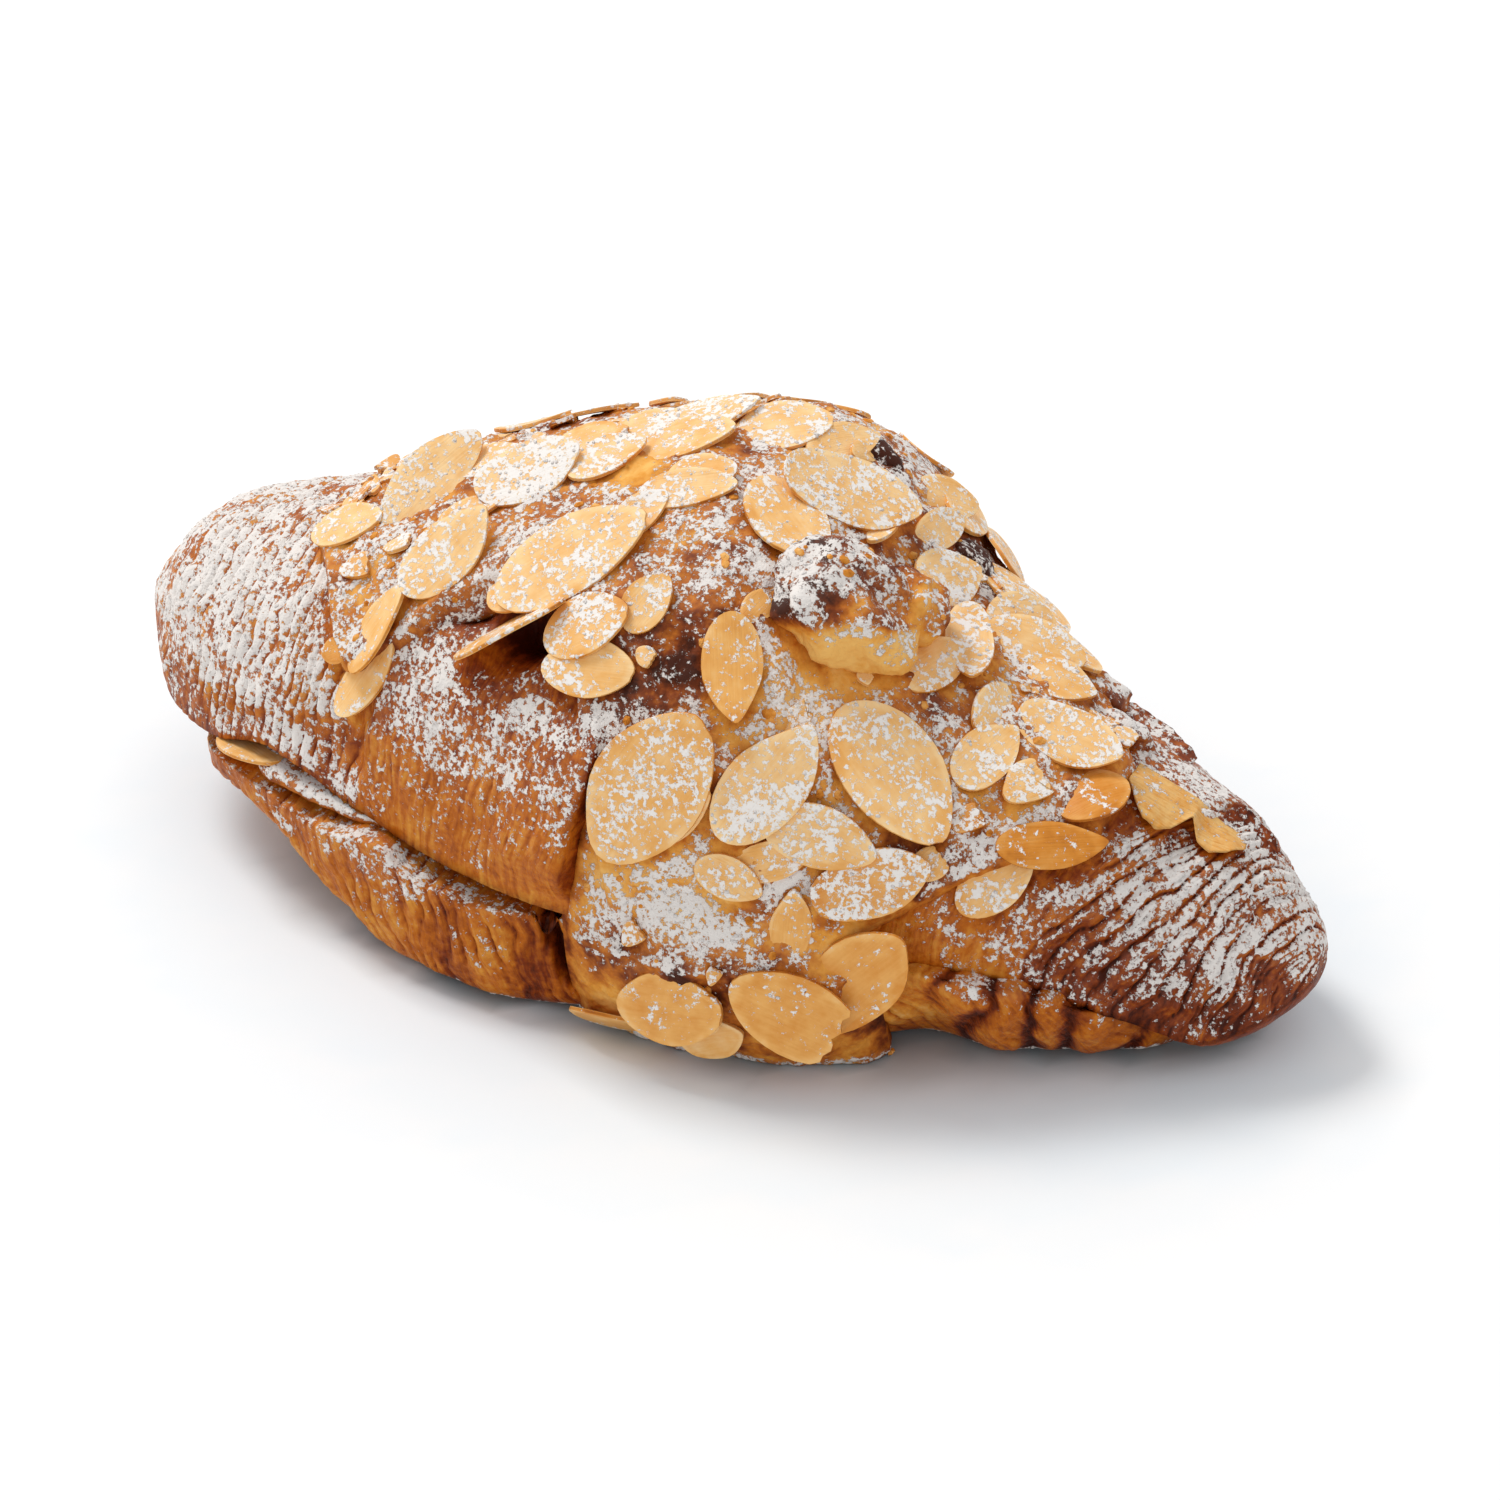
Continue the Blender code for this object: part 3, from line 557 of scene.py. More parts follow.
# %% Folds of the lower half
SOLE_RINGS, SOLE_SIDE, SOLE_FLAT, SOLE_TOP = 430, 46, 8, 26
SOLE_LINES = (2.0, 0.34)  # spacing and height of the upright lines
SOLE_FOLDS = (5.0, 0.60)  # the same of the thick folds
SOLE_FOLDS_FROM = 35.5
SOLE_BUMPS = ((0.25, 3, 3.0), (0.12, 0, 1.0))
SOLE_WANDER = ((2.4, 11, 8.0), (0.6, 0, 2.5))
RIM_TORN = 0.9
RIM_LIP = ((-62, 0.0), (24, 0.0), (31, 1.8), (52, 1.8), (60, 0.0))  # along, how far the rim juts out
RIM_MOUND = (-28.0, 4.5, 2.3)  # sugared scraps heaped on the rim: along, reach, height
UNDERCUT = (36.5, 4.5, 5.5)  # where the foot arches off the tray: along, reach, height
TEAR = (-5.0, -0.35, 0.9, 2.6)  # a tear beside the cream: along at 12 mm up, lean, half width, depth


def sole_rings(along):
    """Sections of the lower half: down the front, across the bottom, up the back, back over the cut."""
    front, back, cut, bottom = (through(BASE, column, along)[:, None] for column in (1, 2, 3, 4))
    bottom = np.maximum(bottom, 0.0)
    small = end_rounding(along, BASE_LEFT, BASE_RIGHT, BASE_ROUND, BASE_ROUND)[:, None]
    corner = np.minimum(BASE_CORNER, 0.8 * (cut - bottom))
    angle = np.linspace(0, math.pi / 2, SOLE_SIDE)[None, :]
    fall = cut - (cut - bottom) * np.sin(angle)
    lip = through(RIM_LIP, 1, along)[:, None] * np.cos(angle) ** 4
    down = front - lip + corner * (1 - np.cos(angle))
    mound = RIM_MOUND[2] * np.exp(-(((along - RIM_MOUND[0]) / RIM_MOUND[1]) ** 2))
    raised = 0.5 * lip + mound[:, None] * np.cos(angle) ** 4
    up = (back - corner * (1 - np.cos(angle)))[:, ::-1]
    share = np.linspace(0, 1, SOLE_FLAT + 2)[None, 1:-1]
    flat = down[:, -1:] + (up[:, :1] - down[:, -1:]) * share
    share = (1 - np.cos(np.linspace(0, math.pi, SOLE_TOP + 2)[None, 1:-1])) / 2
    top = back + (down[:, :1] - back) * share
    across = np.concatenate([down, flat, up, top], 1)
    over_cut = cut + raised[:, :1] * share
    height = np.concatenate([fall + raised, bottom + 0 * flat, fall[:, ::-1], over_cut], 1)
    middle = (front + back) / 2
    across = middle + (across - middle) * small
    return np.stack([along[:, None] + 0 * across, across, height], -1)


sole_along = np.linspace(BASE_LEFT + 0.3, BASE_RIGHT - 0.3, SOLE_RINGS)
print("sole sections:", sole_rings(sole_along).shape[:2])

# %% [markdown]
# The relief of the sole is pushed out along its normals, after which the tear beside the cream is cut in
# and the foot is arched. A displacement texture could do the ridges, but not keep the underside flat.

# %% The lower half itself
sole = sole_rings(sole_along)
sole_out = ring_normals(sole)
sole_x = sole[..., 0]
height_share = np.clip(sole[..., 2] / 14.0, 0, 1)
wander = uneven(sole, SOLE_WANDER)
strength = 0.25 + ease(0.5 + 1.2 * rough(sole + 17, 6.0))
lines = SOLE_LINES[1] * layered(sole_x + 3.0 * height_share, SOLE_LINES[0], wander) * strength
thick = SOLE_FOLDS[1] * layered(sole_x - 4.0 * height_share, SOLE_FOLDS[0], 1.1 * wander, 1.0)
near_slim_end = ease((sole_x - SOLE_FOLDS_FROM) / 4.0)
waves = 0.5 * rough(sole * (1, 1, 0.3) + 90, 5.0)
sole_ridges = lines * (1 - 0.4 * near_slim_end) + thick * near_slim_end + waves
side_share = ease(height_share / 0.25) * (1 - 0.5 * ease((height_share - 0.9) / 0.1))
swell = (sole_ridges + uneven(sole, SOLE_BUMPS)) * side_share
sole_rounding = end_rounding(sole_x, BASE_LEFT, BASE_RIGHT, BASE_ROUND, BASE_ROUND)
torn = RIM_TORN * rough(sole * (1, 0, 0) + 5, 3.0) * ease((height_share - 0.85) / 0.15)
from_tear = sole_x - TEAR[0] - TEAR[1] * (sole[..., 2] - 12.0)
tear = np.exp(-((from_tear / TEAR[2]) ** 2)) * ease((sole[..., 2] - 3.0) / 4.0)
sole = sole + sole_out * (swell * sole_rounding - TEAR[3] * tear * (sole[..., 1] < 0))[..., None]
sole[..., 2] = np.maximum(sole[..., 2] + torn * sole_rounding, 0.0)
arch = UNDERCUT[2] * np.exp(-(((sole_x - UNDERCUT[0]) / UNDERCUT[1]) ** 2)) * ease((-20 - sole[..., 1]) / 8)
sole[..., 2] += arch * (1 - sole[..., 2] / 16)

on_ridge = np.clip(sole_ridges / 0.35, -1, 1)
# Painted shade: the sole's grooves are painted browner than its ridges.
sole_browned_and_shaded = 0.60 + 0.16 * near_slim_end - 0.22 * on_ridge - 0.10 * arch / UNDERCUT[2]
# Browner low down, and the tear beside the cream painted darker as shade.
sole_browned_and_shaded += 0.12 * ease((0.35 - height_share) / 0.35) + 0.5 * tear
on_rim = ease((height_share - 0.80) / 0.2)
sole_sugared = 0.14 + 0.27 * on_rim + 0.12 * on_ridge - 0.6 * tear
sole_sugared += 0.1 * ease((sole_x + 34) / 3) * ease((-22 - sole_x) / 3) - 0.2 * arch / UNDERCUT[2]
lower_pastry = loft(
    "lower_pastry",
    sole,
    browned=sole_browned_and_shaded,
    sugared=sole_sugared,
    across_layers=sole_x + 4.0 * height_share + 0.6 * wander,
    along_layers=14.0 * height_share,
)

# %% [markdown]
# ## The filling
# In the cut lies a grey-gold band of almond cream, rough like crumbled marzipan. It only shows through the
# gap at the left, so one lofted band with a coarse surface is enough.

# %% The filling
FILLING_ENDS = (-53.0, 45.0)
FILLING_RINGS, FILLING_POINTS = 190, 64
FILLING_BUMPS = ((0.55, 0, 3.0), (0.3, 5, 1.1))
GAP = 0.35

filling_along = np.linspace(*FILLING_ENDS, FILLING_RINGS)[:, None]
small = end_rounding(filling_along, FILLING_ENDS[0] - 2, FILLING_ENDS[1] + 2, 12.0, 12.0)
low, high = through(BASE, 3, filling_along) + GAP, through(ROLL, 5, filling_along) - 1.2
front = through(ROLL, 1, filling_along) - 0.8 + 2.5 * ease((filling_along + 36.0) / 12.0)
back = through(BASE, 2, filling_along) - 5.0
angle = np.linspace(0, 2 * math.pi, FILLING_POINTS, endpoint=False)[None, :]
middle, half_width, half_height = (front + back) / 2, (back - front) / 2 * small, (high - low) / 2
square_cos = np.sign(np.cos(angle)) * np.abs(np.cos(angle)) ** 0.25
square_sin = np.sign(np.sin(angle)) * np.abs(np.sin(angle)) ** 0.6
across = middle + half_width * square_cos
height = (low + high) / 2 + half_height * square_sin
filling_rings = np.stack([filling_along + 0 * across, across, height], -1)
filling_bumps = uneven(filling_rings, FILLING_BUMPS)
filling_rings[..., 1] -= filling_bumps * 0.8
cream_filling = loft(
    "cream_filling",
    filling_rings,
    browned=0.60 + 0.35 * filling_bumps,
    sugared=np.full(filling_bumps.shape, 1.3),
)

# %% [markdown]
# ## The cream on top
# Almond cream was spread over the crown, ran down the front to the tray, and baked to a golden, crumbly
# skin that is darkest where it stands up. Each stretch is a blanket: the roll's surface moved outwards by
# the cream's depth, with its border sunk into the pastry and its inner side hidden there.

# %% Depth of the cream
CRUMBLY = ((0.50, 20, 3.2), (0.34, 0, 1.5), (0.16, 2, 0.7))  # the fine relief of baked almond cream


def spread_depth(along, turn):
    """Thickness of the cream on top, which sinks into the pastry at its border."""
    to_front = (turn - through(SPREAD, 1, along)) * HALF_GIRTH
    to_back = (through(SPREAD, 2, along) - turn) * HALF_GIRTH
    to_end = np.minimum(along - SPREAD[0][0], SPREAD[-1][0] - along)
    to_border = np.minimum(np.minimum(to_front, to_back), to_end)
    lumps = 1 + 0.35 * rough(shape(along, turn), 8.0)
    return (CREAM * lumps + SUNK) * ease(to_border / CREAM_EDGE) - SUNK


def drip_depth(along, turn):
    """Thickness of the cream that ran down the front, its sides wavy."""
    points = shape(along, turn)
    sides = np.minimum(along - DRIP[0][0], DRIP[-1][0] - along) + 1.5 * rough(points + 40, 9.0)
    thins = 1 - 0.65 * np.clip(-turn, 0, 1)
    stands = through(DRIP, 1, along) * ease((DRIP_TOP - turn) / DRIP_RISE) * thins
    lumps = 1 + 0.4 * rough(points, 9.0)
    return (stands * lumps + SUNK) * ease(sides / DRIP_EDGE) - SUNK


def blanket(along, turn, depth):
    """A closed sheet of cream: points, faces, and its relief, its browner border and no extra sugar."""
    out = outward(along, turn)
    base = shape(along, turn)
    fine = uneven(base, CRUMBLY)
    thick = depth + fine * ease((depth + SUNK) / 1.2)
    outer, inner = base + out * thick[..., None], base - out * ROOTED
    rows, columns = depth.shape
    lower = rows * columns
    faces = [grid_faces(rows, columns, False), grid_faces(rows, columns, False, lower)[:, ::-1]]
    down, right = np.arange(rows - 1) * columns, np.arange(columns - 1)
    for a, b in (
        (down + columns, down),
        (down + columns - 1, down + 2 * columns - 1),
        (right, right + 1),
        ((rows - 1) * columns + right + 1, (rows - 1) * columns + right),
    ):
        faces += [np.stack([b, a, a + lower], -1), np.stack([b, a + lower, b + lower], -1)]
    stands = np.concatenate([fine.reshape(-1), fine.reshape(-1)])
    points = np.concatenate([outer.reshape(-1, 3), inner.reshape(-1, 3)])
    border = 0.22 * (1 - ease((depth + SUNK) / 1.8)).reshape(-1)
    border = np.concatenate([border, border])
    numbers = {"stands": stands, "browner": border, "dustier": 0 * stands}
    return points, np.concatenate(faces), numbers


print("cream over the crown:", round(float(spread_depth(np.float64(2), np.float64(0.5))), 2), "mm")

# %% [markdown]
# The biggest lump has a dark cap, a golden side and a smaller knob beside it, and small dark crests stand
# along the back border. All are balls made blocky and uneven by noise, listed in one table. A second table
# names the places where the cream is paler or darker, some from baking and some as painted shade in its
# valleys, and where it caught more or less sugar.

# %% Lumps and spots
LUMP_CAP = 0.5  # the browned cap stands out by this much
# For each lump: along, turn, raised, half sizes, how low its cap reaches, how much browner, how much more
# sugar, how finely it is divided
LUMPS = (
    (18.5, 0.385, 3.0, (8.4, 6.8, 5.4), 2.4, 0.10, 0.00, 6),
    (23.2, 0.440, 3.2, (4.4, 4.2, 4.0), 2.2, 0.04, -0.16, 5),
    (10.5, 0.605, 0.9, (4.2, 2.8, 1.8), 9.0, 0.20, -0.10, 4),
    (15.5, 0.610, 0.7, (3.4, 2.4, 1.4), 9.0, 0.14, 0.00, 4),
    (23.5, 0.640, 0.8, (4.2, 2.6, 1.8), 9.0, 0.20, -0.10, 4),
    (33.0, 0.655, 0.6, (3.6, 2.4, 1.4), 9.0, 0.14, 0.00, 4),
    (41.0, 0.640, 0.6, (4.4, 2.6, 1.5), 9.0, 0.16, -0.05, 4),
    (46.5, 0.560, 0.6, (3.2, 2.2, 1.4), 9.0, 0.14, 0.10, 4),
    (-38.0, 0.500, 0.5, (3.4, 2.4, 1.2), 9.0, 0.10, 0.10, 4),
    (-26.0, 0.600, 0.5, (3.4, 2.6, 1.3), 9.0, 0.14, 0.00, 4),
)
LUMP_HEADING = 25.0
# Places where the cream is browner or paler, partly from baking and partly painted shade in its valleys:
# x, y, z, reach, how much browner, how much more sugar
SPOTS = (
    (21.0, -26.0, 43.0, 6.5, -0.36, 0.14),
    (17.0, -25.5, 52.0, 2.4, 0.34, -0.40),
    (21.0, -22.0, 52.5, 2.2, 0.32, -0.34),
    (16.0, -20.0, 56.0, 4.5, -0.05, 0.34),
    (3.0, -40.0, 3.0, 6.0, -0.40, -0.10),
    (24.0, -34.0, 22.0, 5.0, -0.20, 0.10),
    (-8.0, -11.0, 57.0, 3.5, -0.45, -0.50),
    (8.0, -29.0, 50.0, 4.5, 0.34, -0.30),
    (6.0, -33.5, 45.5, 4.5, 0.32, -0.22),
    (0.6, -35.5, 43.5, 4.0, 0.25, -0.05),
    (12.0, -24.0, 52.5, 3.5, 0.15, -0.15),
    (6.0, -42.0, 16.0, 5.0, 0.22, 0.10),
    (16.0, -42.0, 12.0, 5.0, 0.18, 0.00),
    (4.0, -42.0, 23.0, 5.5, -0.30, 0.60),
    (11.0, -42.0, 24.0, 5.5, -0.26, 0.55),
    (17.0, -41.0, 25.0, 5.5, -0.22, 0.50),
    (6.0, -43.0, 15.0, 5.0, 0.00, -0.10),
    (-10.0, -25.0, 52.0, 6.0, 0.05, 0.20),
    (23.0, -36.0, 27.5, 5.5, -0.05, 0.34),
    (33.0, -31.0, 25.5, 5.5, 0.00, 0.34),
    (38.0, -27.5, 27.0, 5.0, 0.05, 0.25),
    (23.5, -10.0, 49.0, 4.0, 0.05, -0.16),
    (38.0, -27.0, 29.0, 4.0, 0.05, -0.20),
    (12.0, 8.5, 56.5, 4.5, 0.40, -0.10),
    (25.5, 7.5, 45.0, 5.0, 0.35, -0.15),
)
print(len(LUMPS), "lumps,", len(SPOTS), "spots")

# %% [markdown]
# A lump starts as a ball of small triangles, which has no poles to pinch. It is made blocky, stretched,
# set on the surface by a pose that the almonds use too, and roughened. Its dark cap is what lies high
# or to the back, so that the golden side faces the front.

# %% A lump


def turned(centre, up, heading, tilt, lift):
    """The pose of a thing on a surface whose normal is up."""
    along = Vector((1, 0, 0)) - up * up.x
    along.normalize()
    frame_here = Matrix((along, up.cross(along), up)).transposed().to_4x4()
    spin = Matrix.Rotation(math.radians(heading), 4, "Z")
    raised = Matrix.Rotation(math.radians(-lift), 4, "Y")
    rolled = Matrix.Rotation(math.radians(-tilt), 4, "X")
    return Matrix.Translation(centre) @ frame_here @ spin @ raised @ rolled


def lump(along, turn, raised, halves, cap_low, browner, dustier, fineness):
    """A lump, dark on top and golden down its side: points, faces, and numbers as for a blanket."""
    ball = bmesh.new()
    bmesh.ops.create_icosphere(ball, subdivisions=fineness, radius=1.0)
    unit = np.array([v.co for v in ball.verts])
    faces = np.array([[v.index for v in face.verts] for face in ball.faces])
    ball.free()
    blocky = unit / (np.abs(unit) ** 4).sum(1, keepdims=True) ** 0.25
    unit = 0.45 * unit + 0.55 * 0.86 * blocky
    sizes = unit * (1 + 0.30 * rough(unit + along, 1 / 1.7))[:, None] * halves
    up = Vector(outward(along, turn))
    pose = turned(Vector(shape(along, turn)) + up * raised, up, LUMP_HEADING, 0, 0)
    away = sizes @ np.array(pose.to_3x3()).T
    points = away + np.array(pose.translation)
    fine = uneven(points, CRUMBLY)
    height = away @ (-0.26, 0.51, 0.82)
    cap = ease((height + cap_low + 1.3 * rough(points + 8, 3.0)) / 1.4)
    scorched = cap * (browner + 0.34 * rough(points + 15, 4.5)) - 0.36 * (1 - cap)
    away /= np.linalg.norm(away, axis=1, keepdims=True)
    dusty = cap * dustier - 0.10 * (1 - cap)
    numbers = {"stands": fine, "browner": scorched, "dustier": dusty}
    return points + away * (fine + LUMP_CAP * cap)[:, None], faces, numbers


print("the first lump has", len(lump(*LUMPS[0])[0]), "points")

# %% [markdown]
# The spread, the run down the front and the lumps are closed shapes that sink into one another. A
# boolean union would join them, but it takes long and changes nothing that shows.

# %% The whole topping of cream
SPREAD_ROWS, SPREAD_COLUMNS = 280, 106
DRIP_ROWS, DRIP_COLUMNS = 112, 92
TRAY_CLEAR = 0.05  # the cream's foot stays this far above the tray
BROWN_PATCHES = ((0.24, 60, 7.0), (0.18, 80, 2.6))
SUGAR_PATCHES = ((0.08, 33, 9.0), (0.14, 23, 3.0))


def cream_parts():
    """The spread on top, what ran down the front, and the lumps."""
    over = np.linspace(SPREAD[0][0], SPREAD[-1][0], SPREAD_ROWS)[:, None]
    share = np.linspace(0, 1, SPREAD_COLUMNS)[None, :]
    first, last = through(SPREAD, 1, over), through(SPREAD, 2, over)
    over, turns = np.broadcast_arrays(over, first + (last - first) * share)
    yield blanket(over, turns, spread_depth(over, turns))
    over = np.linspace(DRIP[0][0], DRIP[-1][0], DRIP_ROWS)[:, None]
    turns = np.linspace(DRIP_FOOT, DRIP_TOP, DRIP_COLUMNS)[None, :]
    over, turns = np.broadcast_arrays(over, turns)
    yield blanket(over, turns, drip_depth(over, turns))
    for row in LUMPS:
        yield lump(*row)


cream_points, cream_faces, cream_numbers = merged(cream_parts())
cream_points[:, 2] = np.maximum(cream_points[:, 2], TRAY_CLEAR)
patches = uneven(cream_points, BROWN_PATCHES)
dusted_patches = uneven(cream_points, SUGAR_PATCHES) + 0.14 * cream_numbers["stands"]
dusted_patches = dusted_patches + cream_numbers["dustier"]
# Some spots paint shade into the cream's valleys, the others its baked tone.
for x, y, z, reach, browner, dustier in SPOTS:
    near = np.exp(-(((cream_points - (x, y, z)) / reach) ** 2).sum(1))
    patches += browner * near
    dusted_patches += dustier * near
cream_browned_and_shaded = 0.55 + patches + 0.22 * cream_numbers["stands"] + cream_numbers["browner"]
cream_carried = {"browned": cream_browned_and_shaded, "sugared": 0.52 + dusted_patches}
cream_topping = made_object("cream_topping", cream_points, cream_faces, cream_carried)

# %% [markdown]
# ## Nodes written as expressions
# Both the almonds' Geometry Nodes and the finishes further down are long chains of nodes. Written out by
# hand they hide the idea, so one small class wraps an output socket and gives it Python's arithmetic, and
# one method adds any other node: its kind, its settings first, then the values or links of its sockets.

# %% A small language for node trees


class Socket:
    """One output of a node. Arithmetic on it adds Math nodes to its tree."""

    def __init__(self, graph, output):
        self.graph, self.output = graph, output

    def __add__(self, other):
        return self.graph.maths("ADD", self, other)

    def __radd__(self, other):
        return self.graph.maths("ADD", other, self)

    def __sub__(self, other):
        return self.graph.maths("SUBTRACT", self, other)

    def __rsub__(self, other):
        return self.graph.maths("SUBTRACT", other, self)

    def __mul__(self, other):
        return self.graph.maths("MULTIPLY", self, other)

    def __rmul__(self, other):
        return self.graph.maths("MULTIPLY", other, self)

    def __truediv__(self, other):
        return self.graph.maths("DIVIDE", self, other)


class Graph:
    """A node tree to which nodes are added."""

    def __init__(self, tree):
        self.tree = tree

    def node(self, kind, settings=None, inputs=None, output=0):
        """Adds a node: its settings, a ramp's stops among them, then its sockets. Returns one output."""
        made = self.tree.nodes.new(kind)
        for name, value in (settings or {}).items():
            if name == "stops":
                for place, colour in value[1:-1]:
                    made.color_ramp.elements.new(place)
                for element, (place, colour) in zip(made.color_ramp.elements, value):
                    element.position, element.color = place, colour
            else:
                setattr(made, name, value)
        for name, value in (inputs or {}).items():
            self.feed(made.inputs[name], value)
        return Socket(self, made.outputs[output]) if len(made.outputs) else made

    def feed(self, socket, value):
        """Links a socket to one node's output or to several, or sets its value."""
        for each in value if isinstance(value, list) else [value]:
            if isinstance(each, Socket):
                self.tree.links.new(each.output, socket)
            else:
                socket.default_value = each

    def maths(self, operation, *values):
        """A Math node, which is what the arithmetic above adds."""
        return self.node("ShaderNodeMath", {"operation": operation}, dict(enumerate(values)))


print("nodes can now be written as expressions")

# %% [markdown]
# ## Flaked almonds
# A flaked almond is a slice about half a millimetre thick: an egg-shaped leaf with a browner rim, some
# chipped, some snapped across. Ten leaf shapes are made once. Geometry Nodes then set one on each point of
# a small cloud, turned and stretched by that point's own numbers, because more than eighty leaves and their
# chips repeat one rule, and the numbers for toasting and sugar ride along to every vertex.

# %% Leaf shapes, one unit long and wide
LEAF_SIDES, LEAF_RINGS = 32, 6
RIM_OF_SIDE = 1.2  # the rim number on a leaf's narrow side, past the 1 of its upper edge
# For each shape: how pointed, how curled along, how cupped across, how chipped, where it is snapped off
LEAVES = (
    (0.42, 0.5, 0.25, 0.03, 1.0),
    (0.52, -0.4, 0.35, 0.04, 1.0),
    (0.26, 0.9, 0.15, 0.05, 1.0),
    (0.50, 0.2, -0.30, 0.04, 1.0),
    (0.36, -0.8, 0.10, 0.06, 1.0),
    (0.60, 0.6, -0.15, 0.04, 1.0),
    (0.30, 0.4, 0.20, 0.09, 0.55),
    (0.22, -0.3, 0.30, 0.12, 0.30),
    (0.15, 1.6, 0.60, 0.03, 1.0),
    (0.30, 0.3, 0.10, 0.16, 0.10),
)


def leaf_shape(number, pointed, curled, cupped, chipped, snapped):
    """A closed leaf whose points carry how near the rim they lie and their place in the leaf."""
    dice = random.Random(100 + number)
    phase = [dice.uniform(0, 2 * math.pi) for _ in range(4)]
    reach = np.concatenate([np.linspace(0.0, 0.93, LEAF_RINGS - 1), [1.0]])[1:]
    angle = np.linspace(0, 2 * math.pi, LEAF_SIDES, endpoint=False)
    wavy = sum(np.sin((k + 2) * angle + phase[k]) / (k + 1.5) for k in range(4))
    radius = 1 + chipped * wavy
    x = np.minimum(np.cos(angle) * radius, snapped + 0.04 * np.sin(9 * angle))
    y = np.sin(angle) * radius * (1 - pointed * np.clip(np.cos(angle), 0, 1) ** 2)
    points, rims = [], []
    for side in (1, -1):
        points.append([(0, 0, side * 0.44)])
        rims.append([0.0])
        for share in reach:
            thick = 0.44 + 0.06 * ease((share - 0.6) / 0.25) * (share < 1)
            points.append(np.stack([x * share / 2, y * share / 2, np.full(LEAF_SIDES, side * thick)], -1))
            rims.append(np.full(LEAF_SIDES, share))
    points.append(np.stack([x * 0.505, y * 0.505, 0 * x], -1))
    rims.append(np.full(LEAF_SIDES, RIM_OF_SIDE))
    points, rims = np.concatenate(points), np.concatenate(rims)
    lobes = 1 + len(reach) * LEAF_SIDES
    faces = []
    i = np.arange(LEAF_SIDES)
    j = (i + 1) % LEAF_SIDES
    for start, flip in ((0, False), (lobes, True)):
        ring = [start + 1 + k * LEAF_SIDES for k in range(len(reach))] + [2 * lobes]
        strips = [np.stack([np.full(LEAF_SIDES, start), ring[0] + i, ring[0] + j], -1)]
        for a, b in zip(ring, ring[1:]):
            strips += [np.stack([a + i, b + i, b + j], -1), np.stack([a + i, b + j, a + j], -1)]
        faces += [strip[:, ::-1] if flip else strip for strip in strips]
    bend = -curled * 4 * points[:, 0] ** 2 - cupped * 4 * points[:, 1] ** 2
    points[:, 2] += bend + 0.12 * np.sin(7 * points[:, 0] + phase[0]) * np.cos(6 * points[:, 1] + phase[1])
    mesh = bpy.data.meshes.new(f"leaf{number}")
    mesh.from_pydata(points, [], np.concatenate(faces))
    mesh.attributes.new("rim", "FLOAT", "POINT").data.foreach_set("value", rims.astype(np.float32))
    leaf_place = np.column_stack([points[:, :2], np.full(len(points), number)]).astype(np.float32)
    mesh.attributes.new("leaf", "FLOAT_VECTOR", "POINT").data.foreach_set("vector", leaf_place.reshape(-1))
    mesh.shade_smooth()
    ends = np.empty(2 * len(mesh.edges), np.int32)
    mesh.edges.foreach_get("vertices", ends)
    ends = ends.reshape(-1, 2)
    upper_edge, lower_edge = (lobe + 1 + (len(reach) - 1) * LEAF_SIDES for lobe in (0, lobes))
    crisp = [((ends >= edge) & (ends < edge + LEAF_SIDES)).all(1) for edge in (upper_edge, lower_edge)]
    mesh.attributes.new("sharp_edge", "BOOLEAN", "EDGE").data.foreach_set("value", crisp[0] | crisp[1])
    return bpy.data.objects.new(f"leaf{number}", mesh)


leaf_shapes = bpy.data.collections.new("leaf_shapes")
for number, leaf in enumerate(LEAVES):
    leaf_shapes.objects.link(leaf_shape(number, *leaf))
print(len(LEAVES), "leaf shapes")
